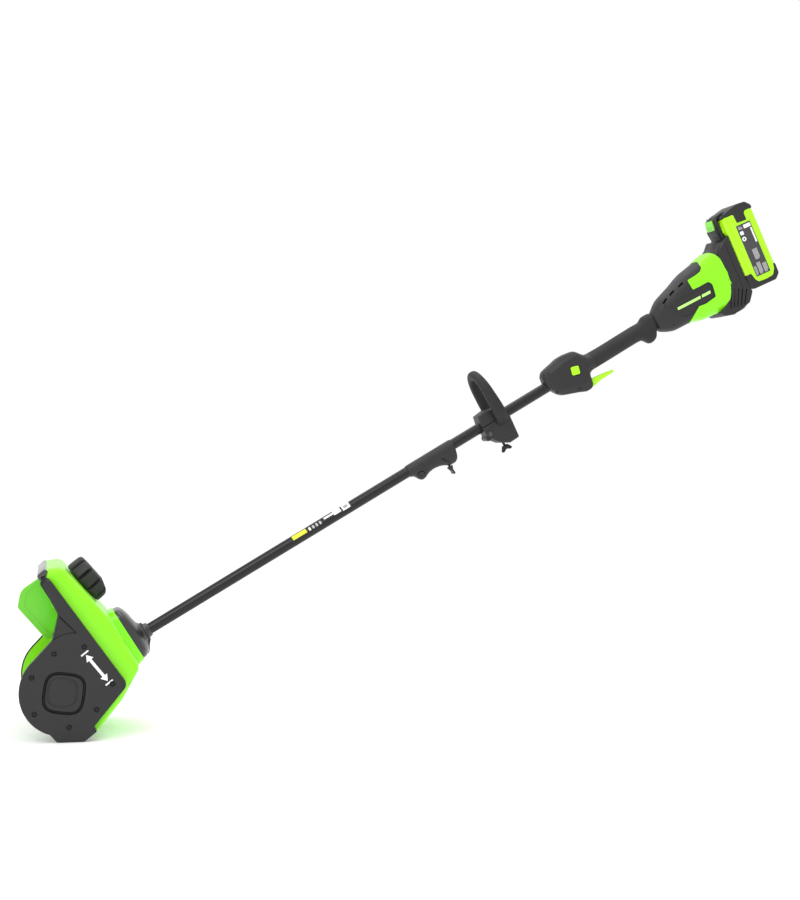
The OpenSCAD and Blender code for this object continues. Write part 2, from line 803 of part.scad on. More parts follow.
// ---- small moving pieces of the boom ----
module release_button() {
    color(black) on_boom() {
        across(-14.6, -10.5, 8, button_at);
        across(-10.6, -9.2, 5, button_at);
    }
}
module coupler_wing_screw() {
    color(black) on_boom() translate([960, 0, 0]) {
        translate([0, 0, -40]) cylinder(h = 20, r = 3);
        translate([0, 0, -42]) cylinder(h = 3, r = 7);
        rotate([90, 0, 90]) translate([0, 0, -2]) linear_extrude(4)
            polygon(rounded([[-7, -39.5, 0], [-14, -58, 4], [14, -58, 4], [7, -39.5, 0]]));
    }
}
block_pts = [
    [1063, 10, 2], [1067, 27, 2], [1092, 29, 3], [1128, 18, 4], [1132, -12, 4], [1127, -60, 3], [1102, -61, 6],
    [1083, -50, 8], [1070, -34, 6], [1063, -24, 4]
];
module front_handle() {
    color(black) on_boom() difference() {
        union() {
            slab(-26, 26) polygon(rounded(block_pts));
            translate([loop_s, 0, 0]) rotate([0, -3, 0]) {
                slab_s(-12, 12) loop_outline(9);
            }
        }
        rod(1000, 1200, tube_r + fit);
        translate([1093, 0, -90]) cylinder(h = 70, r = 3.1);
    }
}
// Width along the boom for an outline drawn in Y and Z
module slab_s(s0, s1) {
    translate([s0, 0, 0]) rotate([90, 0, 90]) linear_extrude(s1 - s0) children();
}
loop_c = 62;
module loop_outline(t) {
    pts = concat(
        [[-20, -22], [-loop_r + 2, 2], [-loop_r, 14]],
        arc([0, loop_c], loop_r, 180, 0, 16),
        [[loop_r, 14], [loop_r - 2, 2], [20, -22]]
    );
    strip(pts, 2 * t);
}
module handle_wing_nut() {
    color(black) on_boom() translate([1093, 0, 0]) {
        translate([0, 0, -63]) cylinder(h = 38, r = 3);
        translate([0, 0, -70]) cylinder(h = 8, r = 8);
        rotate([90, 0, 0]) translate([0, 0, -2.5]) linear_extrude(5)
            polygon([[-7, -66], [-13, -78], [-8, -79], [0, -70], [8, -79], [13, -78], [7, -66]]);
    }
}
module trigger_pin() {
    color(steel) on_boom() across(-14, 14, 2.5, trigger_pivot);
}
module trigger() {
    color(green) on_boom() difference() {
        slab(-7.5, 7.5) polygon(rounded([
            [1318, -32, 4], [1318, -44, 4], [1340, -52, 6], [1362, -48, 20], [1393, -49, 1.5], [1393, -45, 1.5],
            [1362, -40.5, 20], [1342, -40, 6], [1334, -30, 5]
        ]));
        across(-20, 20, 2.5 + fit, trigger_pivot);
    }
}
module lock_off_button() {
    color(green) on_boom() {
        slab(-26, -21) polygon(rounded([
            [1305.8, -9.7, 3.5], [1325.7, -9.7, 3.5], [1325.7, 10.2, 3.5], [1305.8, 10.2, 3.5]]));
        across(-21, -14.6, 5, [1316, 0]);
    }
}

hood();
scoop_liner();
left_side_plate();
right_side_plate();
drive_cover();
side_screws();
scraper_blade();
rotor_bearings();
drive_belt();
gearbox_housing();
cross_shaft_bearings();
pinion_bearing();
boom_socket();
socket_bolts();
lower_tube();
lower_shaft_bushes();
deflector_bush();
rotor_shaft();
rotor_hub();
rotor_paddles();
wear_strips();
driven_pulley();
cross_shaft();
bevel_gear();
drive_pulley();
lower_drive_shaft();
bevel_pinion();
deflector_knob();
deflector_spindle();
deflector_vane();
knob_screw();
coupler();
upper_tube();
upper_shaft_bushes();
handle_shell_left();
handle_shell_right();
rear_grip();
trigger_switch();
trigger_pin();
motor_shell_left();
motor_shell_right();
motor_trim();
housing_screws();
motor_stator();
motor_bearings();
controller_board();
battery_dock();
dock_terminals();
upper_drive_shaft();
motor_rotor();
cooling_fan();
release_button();
coupler_wing_screw();
front_handle();
handle_wing_nut();
trigger();
lock_off_button();
battery_case();
battery_cells();
battery_latch();
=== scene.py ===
import math

import bmesh
import bpy
from mathutils import Matrix, Vector


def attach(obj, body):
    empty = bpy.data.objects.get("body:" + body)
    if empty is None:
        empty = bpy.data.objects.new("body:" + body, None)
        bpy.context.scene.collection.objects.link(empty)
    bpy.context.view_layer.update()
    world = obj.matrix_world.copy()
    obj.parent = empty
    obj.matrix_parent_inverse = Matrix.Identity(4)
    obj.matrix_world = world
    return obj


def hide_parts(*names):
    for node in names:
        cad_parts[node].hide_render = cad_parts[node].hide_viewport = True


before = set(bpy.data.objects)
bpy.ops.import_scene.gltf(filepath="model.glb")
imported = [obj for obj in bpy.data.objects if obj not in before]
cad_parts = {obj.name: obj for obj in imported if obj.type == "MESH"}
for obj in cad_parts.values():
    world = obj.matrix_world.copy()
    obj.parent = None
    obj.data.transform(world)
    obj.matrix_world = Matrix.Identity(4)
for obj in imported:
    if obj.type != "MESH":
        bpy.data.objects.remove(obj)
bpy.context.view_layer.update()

MM = 0.001


def turned(degrees, axis):
    """A turn about an axis."""
    return Matrix.Rotation(math.radians(degrees), 4, axis)


# ---------------------------------------------------------------- frames, all in millimetres
BOOM_PITCH, PACK_LEAN, KNOB_TILT = 30.6, 6.2, 49
HEAD = Matrix.Identity(4)
BOOM = Matrix.Translation((0, 0, 100)) @ turned(-BOOM_PITCH, "Y")
BATT = BOOM @ Matrix.Translation((1800, 0, 45)) @ turned(PACK_LEAN, "Y")
KNOB = Matrix.Translation((40, 0, 306)) @ turned(KNOB_TILT, "Y")


# ---------------------------------------------------------------- materials
MOTTLE_SCALE = 35.0
BUMP_DEPTH = 0.0002
ROUGH_VARY = 0.08
COAT_ROUGHNESS = 0.12


def material(name, color, rough=0.5, metal=0.0, grain=900.0, bump=0.15, vary=0.06, coat=0.0, spec=0.5):
    """A plastic, rubber or metal with slightly uneven colour and gloss and a fine grain."""
    m = bpy.data.materials.new(name)
    m.use_nodes = True
    nt = m.node_tree
    n = nt.nodes
    b = n["Principled BSDF"]
    tc = n.new("ShaderNodeTexCoord")
    big = n.new("ShaderNodeTexNoise")
    big.inputs["Scale"].default_value = MOTTLE_SCALE
    big.inputs["Detail"].default_value = 4
    nt.links.new(tc.outputs["Object"], big.inputs["Vector"])
    mix = n.new("ShaderNodeMix")
    mix.data_type = "RGBA"
    dark = [c * (1 - vary) for c in color]
    light = [min(1, c * (1 + vary)) for c in color]
    mix.inputs["A"].default_value = (*dark, 1)
    mix.inputs["B"].default_value = (*light, 1)
    nt.links.new(big.outputs["Fac"], mix.inputs["Factor"])
    nt.links.new(mix.outputs["Result"], b.inputs["Base Color"])
    rr = n.new("ShaderNodeMapRange")
    rr.inputs["To Min"].default_value = max(0.02, rough - ROUGH_VARY)
    rr.inputs["To Max"].default_value = min(1, rough + ROUGH_VARY)
    nt.links.new(big.outputs["Fac"], rr.inputs["Value"])
    nt.links.new(rr.outputs["Result"], b.inputs["Roughness"])
    fine = n.new("ShaderNodeTexNoise")
    fine.inputs["Scale"].default_value = grain
    fine.inputs["Detail"].default_value = 3
    nt.links.new(tc.outputs["Object"], fine.inputs["Vector"])
    bp = n.new("ShaderNodeBump")
    bp.inputs["Strength"].default_value = bump
    bp.inputs["Distance"].default_value = BUMP_DEPTH
    nt.links.new(fine.outputs["Fac"], bp.inputs["Height"])
    nt.links.new(bp.outputs["Normal"], b.inputs["Normal"])
    b.inputs["Metallic"].default_value = metal
    b.inputs["Specular IOR Level"].default_value = spec
    b.inputs["Coat Weight"].default_value = coat
    b.inputs["Coat Roughness"].default_value = COAT_ROUGHNESS
    return m


BLACK = material("black_plastic", (0.014, 0.014, 0.015), 0.5, bump=0.35, grain=1400, spec=0.42)
BLACK_SMOOTH = material("black_smooth_plastic", (0.012, 0.012, 0.013), 0.34, bump=0.12, grain=700, spec=0.45)
BLACK_SATIN = material("black_satin_plastic", (0.014, 0.014, 0.015), 0.3, bump=0.2, grain=1200, spec=0.6, coat=0.15)
BLACK_GLOSS = material("black_gloss_plastic", (0.03, 0.03, 0.031), 0.22, bump=0.12, grain=900, spec=0.6, coat=0.35)
RUBBER = material("black_rubber", (0.013, 0.013, 0.0135), 0.66, bump=0.6, grain=1100, spec=0.4)
GREEN = material("green_plastic", (0.24, 0.82, 0.0015), 0.3, bump=0.06, grain=600, vary=0.03, coat=0.12, spec=0.4)
PALE = material("pale_green_plastic", (0.15, 0.58, 0.02), 0.32, bump=0.06, grain=600, vary=0.03, coat=0.1)
LATCH_GREEN = material("latch_green_plastic", (0.2, 0.68, 0.03), 0.34, bump=0.06, grain=600, vary=0.03, coat=0.1)
LIME = material("lime_plastic", (0.4, 0.85, 0.002), 0.34, bump=0.06, grain=600, vary=0.03, coat=0.1)
TUBE = material("tube_coat", (0.009, 0.009, 0.0095), 0.3, bump=0.2, grain=1800, spec=0.3, coat=0.05)
STEEL = material("bright_steel", (0.55, 0.56, 0.58), 0.28, metal=1.0, bump=0.1, grain=400)
SCREW_BLACK = material("black_screw", (0.008, 0.008, 0.009), 0.3, metal=0.3, bump=0.1, grain=500)
DARK_STEEL = material("dark_steel", (0.1, 0.1, 0.105), 0.38, metal=0.9, bump=0.1, grain=500)
ALLOY = material("cast_alloy", (0.6, 0.61, 0.63), 0.42, metal=1.0, bump=0.4, grain=500)
COPPER = material("copper", (0.75, 0.36, 0.18), 0.3, metal=1.0, bump=0.2, grain=700)
NYLON = material("nylon", (0.6, 0.6, 0.55), 0.5)
BOARD = material("circuit_board", (0.02, 0.16, 0.06), 0.4)
CELL = material("cell_sleeve", (0.08, 0.25, 0.5), 0.35)
IRON = material("motor_iron", (0.18, 0.18, 0.19), 0.45, metal=0.9)
WHITE = material("white_mark", (0.82, 0.82, 0.82), 0.45, bump=0.05, vary=0.02)
GREY = material("grey_mark", (0.3, 0.3, 0.31), 0.5, bump=0.05, vary=0.02)
PANEL = material("label_panel", (0.045, 0.045, 0.05), 0.35, bump=0.05, vary=0.02)
YELLOW = material("yellow_mark", (0.66, 0.66, 0.02), 0.4, bump=0.05, vary=0.02)
PALE_MARK = material("pale_mark", (0.5, 0.88, 0.22), 0.4, bump=0.05, vary=0.02)
GREY_LIGHT = material("light_grey_mark", (0.42, 0.43, 0.42), 0.45, bump=0.05, vary=0.03)
# painted shade: a near-black for the depths of the motor housing's vent slots
SLOT_SHADE = material("painted_slot_shade", (0.006, 0.006, 0.006), 0.8, bump=0.05)

# a look for each CAD node
NODE_LOOKS = (
    (GREEN, "hood motor_trim battery_latch"),
    (BLACK, "scoop_liner left_side_plate right_side_plate drive_cover boom_socket rotor_hub rotor_paddles "
            "deflector_knob coupler handle_shell_left handle_shell_right motor_shell_left motor_shell_right "
            "battery_dock front_handle"),
    (DARK_STEEL, "side_screws knob_screw housing_screws"),
    (STEEL, "scraper_blade rotor_bearings cross_shaft_bearings pinion_bearing socket_bolts rotor_shaft "
            "cross_shaft bevel_gear lower_drive_shaft bevel_pinion deflector_spindle trigger_pin motor_bearings "
            "upper_drive_shaft"),
    (RUBBER, "drive_belt wear_strips rear_grip"),
    (ALLOY, "gearbox_housing driven_pulley drive_pulley"),
    (TUBE, "lower_tube upper_tube"),
    (NYLON, "lower_shaft_bushes deflector_bush upper_shaft_bushes"),
    (PALE, "deflector_vane"),
    (BLACK_SMOOTH, "trigger_switch cooling_fan release_button coupler_wing_screw handle_wing_nut"),
    (COPPER, "motor_stator dock_terminals"),
    (BOARD, "controller_board"),
    (IRON, "motor_rotor"),
    (LIME, "trigger lock_off_button battery_case"),
    (CELL, "battery_cells"),
)
for look, node_names in NODE_LOOKS:
    for node_name in node_names.split():
        for material_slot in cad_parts[node_name].material_slots:
            material_slot.material = look


# ---------------------------------------------------------------- outlines
def unit(v):
    """The vector with length one."""
    d = math.hypot(v[0], v[1]) or 1.0
    return (v[0] / d, v[1] / d)


def rounded(pts, n=6):
    """A closed outline of (x, z, corner radius) as a list of points."""
    out = []
    for i, p in enumerate(pts):
        a, c = pts[i - 1], pts[(i + 1) % len(pts)]
        r = p[2] if len(p) > 2 else 0
        if r <= 0:
            out.append((p[0], p[1]))
            continue
        u, v = unit((a[0] - p[0], a[1] - p[1])), unit((c[0] - p[0], c[1] - p[1]))
        half = math.acos(max(-1, min(1, u[0] * v[0] + u[1] * v[1]))) / 2
        w = unit((u[0] + v[0], u[1] + v[1]))
        m = (p[0] + w[0] * r / math.sin(half), p[1] + w[1] * r / math.sin(half))
        t = r / math.tan(half)
        s = math.atan2(p[1] + u[1] * t - m[1], p[0] + u[0] * t - m[0])
        e = math.atan2(p[1] + v[1] * t - m[1], p[0] + v[0] * t - m[0])
        sweep = (e - s + math.pi) % (2 * math.pi) - math.pi
        for k in range(n + 1):
            q = s + sweep * k / n
            out.append((m[0] + r * math.cos(q), m[1] + r * math.sin(q)))
    return out


def rect(x0, x1, z0, z1, r=0):
    """A rectangle's corners, each with the corner radius r."""
    return [(x0, z0, r), (x1, z0, r), (x1, z1, r), (x0, z1, r)]


def arc(c, r, a0, a1, n):
    """Points along a circle about c from angle a0 to a1, in degrees."""
    return [(c[0] + r * math.cos(math.radians(a0 + (a1 - a0) * k / n)),
             c[1] + r * math.sin(math.radians(a0 + (a1 - a0) * k / n))) for k in range(n + 1)]


def counterclockwise(pts):
    area = sum(pts[i - 1][0] * p[1] - p[0] * pts[i - 1][1] for i, p in enumerate(pts))
    return list(pts) if area > 0 else list(pts)[::-1]


def tidy(pts, near=0.05):
    """Leaves out the points that are too near the one before."""
    out = []
    for p in pts:
        if not out or math.hypot(p[0] - out[-1][0], p[1] - out[-1][1]) > near:
            out.append(p)
    while math.hypot(out[0][0] - out[-1][0], out[0][1] - out[-1][1]) <= near:
        out.pop()
    return out


def inset(ctrl, d):
    """A counterclockwise outline of (x, z, corner radius, share) moved inwards by d, corner by corner."""
    out = []
    for i, p in enumerate(ctrl):
        a, c = ctrl[i - 1], ctrl[(i + 1) % len(ctrl)]
        r = p[2] if len(p) > 2 else 0
        e = d * (p[3] if len(p) > 3 else 1)
        u, v = unit((p[0] - a[0], p[1] - a[1])), unit((c[0] - p[0], c[1] - p[1]))
        n1, n2 = (-u[1], u[0]), (-v[1], v[0])
        m = unit((n1[0] + n2[0], n1[1] + n2[1]))
        k = max(0.3, m[0] * n1[0] + m[1] * n1[1])
        if r:
            convex = u[0] * v[1] - u[1] * v[0] > 0
            r = max(0.15, r - e if convex else r + e)
        out.append((p[0] + m[0] * e / k, p[1] + m[1] * e / k, r))
    return out


def squircle(cx, cz, r, power, n, turn):
    """A ring between a circle and a square."""
    out = []
    for k in range(n):
        q = 2 * math.pi * k / n
        c, s = math.cos(q), math.sin(q)
        d = r / (abs(c) ** power + abs(s) ** power) ** (1 / power)
        t = q + math.radians(turn)
        out.append((cx + d * math.cos(t), cz + d * math.sin(t)))
    return out


# ---------------------------------------------------------------- meshes
def add_to_scene(name, data):
    """A new object that is linked to the scene."""
    o = bpy.data.objects.new(name, data)
    bpy.context.scene.collection.objects.link(o)
    return o


def new_object(name, verts, faces, space=HEAD, mat=BLACK, sharp=32):
    me = bpy.data.meshes.new(name)
    me.from_pydata([(space @ Vector(v)) * MM for v in verts], [], faces)
    me.validate()
    o = add_to_scene(name, me)
    me.materials.append(mat)
    outward(o)
    shade(o, sharp)
    return o


def outward(o):
    bm = bmesh.new()
    bm.from_mesh(o.data)
    bmesh.ops.recalc_face_normals(bm, faces=bm.faces)
    bm.to_mesh(o.data)
    bm.free()


def shade(o, sharp=32):
    for p in o.data.polygons:
        p.use_smooth = True
    o.data.set_sharp_from_angle(angle=math.radians(sharp))


def apply(o):
    """Turns an object's modifiers into its mesh."""
    dg = bpy.context.evaluated_depsgraph_get()
    dg.update()
    me = bpy.data.meshes.new_from_object(o.evaluated_get(dg))
    o.modifiers.clear()
    o.data = me
    shade(o)


def combine(o, other, op="DIFFERENCE"):
    """Cuts the other out of o, or adds it to o, and removes it."""
    m = o.modifiers.new("b", "BOOLEAN")
    m.object = other
    m.operation = op
    m.solver = "EXACT"
    apply(o)
    bpy.data.objects.remove(other)


def bevel(o, width, segments, angle):
    m = o.modifiers.new("bevel", "BEVEL")
    m.width = width * MM
    m.segments = segments
    m.limit_method = "ANGLE"
    m.angle_limit = math.radians(angle)
    m.use_clamp_overlap = True
    apply(o)


def join(name, objs):
    """Several objects as one."""
    bm = bmesh.new()
    mats = []
    for o in objs:
        base = len(mats)
        for m in o.data.materials:
            mats.append(m)
        start = len(bm.faces)
        bm.from_mesh(o.data)
        bm.faces.ensure_lookup_table()
        for f in bm.faces[start:]:
            f.material_index += base
        bpy.data.objects.remove(o)
    me = bpy.data.meshes.new(name)
    bm.to_mesh(me)
    bm.free()
    for m in mats:
        me.materials.append(m)
    o = add_to_scene(name, me)
    shade(o)
    return o


def rings_to_mesh(rings, loop=False):
    """A skin over rings of points, closed at both ends or round in a loop."""
    n = len(rings[0])
    verts = [p for r in rings for p in r]
    faces = []
    count = len(rings)
    for i in range(count if loop else count - 1):
        a, b = i * n, ((i + 1) % count) * n
        for k in range(n):
            l = (k + 1) % n
            faces.append((a + k, a + l, b + l, b + k))
    if not loop:
        faces.append(tuple(range(n))[::-1])
        faces.append(tuple((count - 1) * n + k for k in range(n)))
    return verts, faces


def slab(name, outline, y0, y1, r, space=HEAD, mat=BLACK, n=3):
    """An outline in x and z with a thickness from y0 to y1, its end edges rounded by r."""
    ctrl = tidy(counterclockwise(outline))
    r = min(r, (y1 - y0) / 2 - 0.01)
    levels = []
    if r > 0.05:
        for k in range(n + 1):
            a = math.pi / 2 * k / n
            levels.append((y0 + r - r * math.sin(math.pi / 2 - a), r - r * math.cos(math.pi / 2 - a)))
        for k in range(n + 1):
            a = math.pi / 2 * k / n
            levels.append((y1 - r + r * math.sin(a), r - r * math.cos(a)))
    else:
        levels = [(y0, 0), (y1, 0)]
    rings = [[(p[0], y, p[1]) for p in rounded(inset(ctrl, d))] for y, d in levels]
    return new_object(name, *rings_to_mesh(rings), space, mat)


def cut(o, outline, y0, y1, space=HEAD):
    """Cuts a slab with sharp edges out of o."""
    combine(o, slab("cut", outline, y0, y1, 0, space))


def bore(o, r, s0, s1):
    """Drills a round hole along the boom."""
    combine(o, lathe("cut", [(r, s0), (r, s1)], BOOM, axis="X"))


def lathe(name, profile, space, mat=BLACK, n=64, at=(0, 0, 0), axis="Z"):
    """A profile of (radius, height) turned about the axis through at."""
    turn = {"Z": Matrix.Identity(4), "X": turned(90, "Y"), "-Y": turned(90, "X"), "Y": turned(-90, "X")}[axis]
    space = space @ Matrix.Translation(at) @ turn
    rings = [[(r * math.cos(2 * math.pi * k / n), r * math.sin(2 * math.pi * k / n), h)
              for k in range(n)] for r, h in profile]
    return new_object(name, *rings_to_mesh(rings), space, mat)


def keyed(table):
    """A smooth curve without overshoot through rows of (place, value, ...)."""
    xs = [row[0] for row in table]

    def at(x):
        if x <= xs[0]:
            return list(table[0][1:])
        if x >= xs[-1]:
            return list(table[-1][1:])
        i = max(k for k in range(len(xs)) if xs[k] <= x)
        h = xs[i + 1] - xs[i]
        t = (x - xs[i]) / h
        out = []
        for c in range(1, len(table[0])):
            d = (table[i + 1][c] - table[i][c]) / h

            def slope(k):
                if k == 0 or k == len(xs) - 1:
                    return d
                d0 = (table[k][c] - table[k - 1][c]) / (xs[k] - xs[k - 1])
                d1 = (table[k + 1][c] - table[k][c]) / (xs[k + 1] - xs[k])
                return 0 if d0 * d1 <= 0 else 2 * d0 * d1 / (d0 + d1)
            m0, m1 = slope(i), slope(i + 1)
            y0, y1 = table[i][c], table[i + 1][c]
            out.append((2 * t ** 3 - 3 * t ** 2 + 1) * y0 + (t ** 3 - 2 * t ** 2 + t) * h * m0
                       + (-2 * t ** 3 + 3 * t ** 2) * y1 + (t ** 3 - t ** 2) * h * m1)
        return out
    return at


class Skin:
    """A housing along x: rows of (place, top, bottom, half width, squareness)."""

    def __init__(self, rows):
        self.rows = rows
        self.at = keyed(rows)

    def point(self, s, q):
        """The surface point at place s and angle q in degrees: 90 is the top, 180 the near side."""
        top, bot, wid, e = self.at(s)
        mid, h = (top + bot) / 2, (top - bot) / 2
        c, sn = math.cos(math.radians(q)), math.sin(math.radians(q))
        y = wid * math.copysign(abs(c) ** (2 / e), c)
        z = mid + h * math.copysign(abs(sn) ** (2 / e), sn)
        return (s, y, z)

    def angle(self, s, z):
        """The angle on the near side at height z."""
        top, bot, _, e = self.at(s)
        mid, h = (top + bot) / 2, (top - bot) / 2
        v = max(-1.0, min(1.0, (z - mid) / h))
        return 180 - math.degrees(math.asin(math.copysign(abs(v) ** (e / 2), v)))

    def mesh(self, name, s0, s1, mat=BLACK, step=3.0, n=96, sharp=32, shape=None):
        """The skin from s0 to s1; shape(point, place, angle) moves its points."""
        rings = []
        count = max(2, round((s1 - s0) / step))
        for i in range(count + 1):
            s = s0 + (s1 - s0) * i / count
            ring = []
            for k in range(n):
                q = 360 * k / n
                p = self.point(s, q)
                ring.append(shape(p, s, q) if shape else p)
            rings.append(ring)
        return new_object(name, *rings_to_mesh(rings), BOOM, mat, sharp)


SHEET_ROOT = -0.6  # how deep a laid-on sheet goes into the surface under it


def patch(name, outline, place, thick, step, space, mat, edge):
    """A sheet with the outline's shape laid on a surface: place(u, v, lift) gives its points."""
    pts = tidy(counterclockwise(outline))
    us, vs = [p[0] for p in pts], [p[1] for p in pts]
    bm = bmesh.new()
    bm.faces.new([bm.verts.new((p[0], p[1], 0)) for p in pts])
    for axis, lo, hi in ((0, min(us), max(us)), (1, min(vs), max(vs))):
        st = step[axis] if isinstance(step, tuple) else step
        k = lo + st
        while k < hi:
            co, no = [0, 0, 0], [0, 0, 0]
            co[axis], no[axis] = k, 1
            bmesh.ops.bisect_plane(bm, geom=bm.verts[:] + bm.edges[:] + bm.faces[:], dist=1e-5,
                                   plane_co=co, plane_no=no)
            k += st
    bmesh.ops.remove_doubles(bm, verts=bm.verts, dist=1e-4)
    base = [(v.co.x, v.co.y) for v in bm.verts]
    rim = {}
    for e in bm.edges:
        if len(e.link_faces) == 1:
            f = e.link_faces[0]
            c = f.calc_center_median()
            d = e.verts[1].co - e.verts[0].co
            no = Vector((d.y, -d.x, 0)).normalized()
            if no.dot(c - e.verts[0].co) > 0:
                no = -no
            for v in e.verts:
                rim.setdefault(v.index, Vector((0, 0, 0)))
                rim[v.index] += no
    bm.verts.index_update()
    verts = []
    for i, (u, v) in enumerate(base):
        if i in rim:
            w = rim[i].normalized()
            u, v = u - w.x * edge * edge_scale(step, 0), v - w.y * edge * edge_scale(step, 1)
        verts.append(place(u, v, thick))
    faces = [tuple(v.index for v in f.verts) for f in bm.faces]
    edges = [(e.verts[0].index, e.verts[1].index) for e in bm.edges if len(e.link_faces) == 1]
    low = {}
    for i in rim:
        low[i] = len(verts)
        verts.append(place(base[i][0], base[i][1], thick - edge))
    deep = {}
    for i in rim:
        deep[i] = len(verts)
        verts.append(place(base[i][0], base[i][1], SHEET_ROOT))
    for a, b in edges:
        faces.append((a, b, low[b], low[a]))
        faces.append((low[a], low[b], deep[b], deep[a]))
    bm.free()
    return new_object(name, verts, faces, space, mat, 50)


def edge_scale(step, axis):
    return step[axis] / step[0] if isinstance(step, tuple) else 1.0


def sweep(name, path, section, space=HEAD, mat=BLACK, up=(0, 1, 0), closed=False, sharp=40):
    """A section of (side, up) points carried along a path; section may be a function of the place."""
    rings = []
    n = len(path)
    upv = Vector(up)
    for i, p in enumerate(path):
        a = Vector(path[i - 1] if i or closed else path[0])
        b = Vector(path[(i + 1) % n] if i < n - 1 or closed else path[n - 1])
        t = (b - a).normalized()
        side = t.cross(upv).normalized()
        sec = section(i / (n - 1)) if callable(section) else section
        rings.append([tuple(Vector(p) + side * q[0] + upv * q[1]) for q in sec])
    return new_object(name, *rings_to_mesh(rings, closed), space, mat, sharp)


def oval(a, b, n=32, power=2.0):
    out = []
    for k in range(n):
        q = 2 * math.pi * k / n
        c, s = math.cos(q), math.sin(q)
        out.append((a * math.copysign(abs(c) ** (2 / power), c), b * math.copysign(abs(s) ** (2 / power), s)))
    return out


def box(name, lo, hi, space):
    (x0, y0, z0), (x1, y1, z1) = lo, hi
    v = [(x0, y0, z0), (x1, y0, z0), (x1, y1, z0), (x0, y1, z0), (x0, y0, z1), (x1, y0, z1), (x1, y1, z1),
         (x0, y1, z1)]
    f = [(0, 3, 2, 1), (4, 5, 6, 7), (0, 1, 5, 4), (1, 2, 6, 5), (2, 3, 7, 6), (3, 0, 4, 7)]
    return new_object(name, v, f, space)


def settle(o, body, nodes=()):
    """Puts a finished piece on its body and hides the CAD nodes it stands for."""
    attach(o, body)
    if nodes:
        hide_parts(*nodes)


# ---------------------------------------------------------------- the working head
HUB = (0.0, 100.0)
PLATE_R = 88.0
WALL_OUT, PLATE_OUT, COVER_FACE = 149.0, 153.0, 170.0


def plate_outline():
    """The side plate: a round end, an arm up to the chute's mouth, a straight back and a skid."""
    return [(-26, 16, 3), (-12, 0.3, 6), (43, 0.3, 8), (68, 20, 3), (62, 30, 2), (130, 113.5, 15),
            (-25, 328.5, 4), (-35, 331, 5), (-39, 318, 6), (-22, 286, 20), (-8, 258, 14), (-22, 206, 10)
            ] + arc(HUB, PLATE_R, 138.5, 252.5, 28)


def hood_side():
    """The hood's side, from its lower rear corner round its back to the lip, then down the chute's front."""
    return [(57, 17, 1, 0.2), (70, 17, 4, 0.4), (121, 80, 60), (156, 143.5, 16), (95, 245, 30), (-3, 354, 18),
            (-34, 349, 6, 0.6), (-36, 334, 3, 0.3), (-36, 318, 3, 0.2), (-19, 287, 16, 0.2), (-5, 258, 12, 0.2),
            (-17, 208, 8, 0.2)
            ] + [(x, z, 0, 0.2) for x, z in arc(HUB, PLATE_R - 2, 139.5, 290, 24)]


hood = slab("hood_shell", hood_side(), -WALL_OUT - 0.5, WALL_OUT + 0.5, 15.0, mat=GREEN, n=8)
hollow = [(52, 8), (64, 20), (116, 88), (134, 112), (145, 138), (91, 240), (-6, 345), (-28, 342),
          (-26, 318), (-10, 290), (4, 258), (-8, 208), (-80, 200), (-140, 200), (-140, -20), (40, -20)]
cut(hood, hollow, -WALL_OUT + 3.5, WALL_OUT - 3.5)
cut(hood, arc(HUB, 16, 0, 350, 30), -200, 200)
combine(hood, lathe("cut", [(10, -60), (10, 60)], KNOB))
bore(hood, 19, 100, 240)
settle(hood, "head", ["hood"])
lip = slab("mouth_lip", [(-30, 346, 3), (-37, 350.5, 5), (-52.5, 336, 5), (-47, 326, 4), (-34, 334, 5)],
           -WALL_OUT - 0.4, WALL_OUT + 0.4, 2.0, mat=BLACK_GLOSS, n=4)
cheek = [(-46, 334, 2), (-33, 340, 2), (-30, 318, 6), (-17, 290, 4), (-22, 287, 3), (-40, 318, 6)]
cheeks = [slab("lip_cheek", cheek, y0, y0 + 4.4, 1.2, mat=BLACK_GLOSS) for y0 in (-WALL_OUT - 0.4, WALL_OUT - 4)]
settle(join("mouth_lip", [lip] + cheeks), "head")

# the raised seat of the boom, and the round seat of the knob
seat_rows = Skin([(118, 92, -70, 78, 4.0), (134, 88, -63, 72, 4.0), (146, 84, -57, 67, 4.2),
                  (156, 80, -51.5, 63.5, 4.4), (164, 78.5, -48, 62.5, 5), (170, 77.5, -46, 62, 5),
                  (178, 76.5, -45, 61.5, 5)])
seat = seat_rows.mesh("boom_seat", 118, 178, mat=GREEN, step=1.0, n=128)
cut(seat, [(167.2, 120, 0), (174.6, -120, 0), (240, -120, 0), (240, 120, 0)], -100, 100, BOOM)
bevel(seat, 1.6, 3, 60)
bore(seat, 19, 100, 240)
settle(seat, "head")
ring = lathe("knob_seat", [(11, -4), (40, -4), (39.5, 0), (38.5, 0.6), (11, 0.6)], KNOB, GREEN, n=96)
settle(ring, "head")

SCREWS = [(-18, 180), (-62, 133), (-57, 59), (12, 31), (67, 65), (99, 116), (42, 193)]
COVER = -COVER_FACE - 1.0
cover = slab("drive_cover_shell", plate_outline(), COVER, -PLATE_OUT + 0.1, 2.6, n=4)
# the groove between the arm's second plate and the rest of the cover
notch = [(-9, 254, 3), (24.5, 222.5, 2), (12, 222, 6), (-4, 217, 6), (-17, 210, 2)]


def sink(points, section, y=COVER, closed=False):
    """Sinks a groove along the points into the cover."""
    combine(cover, sweep("cut", [(p[0], y, p[1]) for p in points], section, closed=closed))


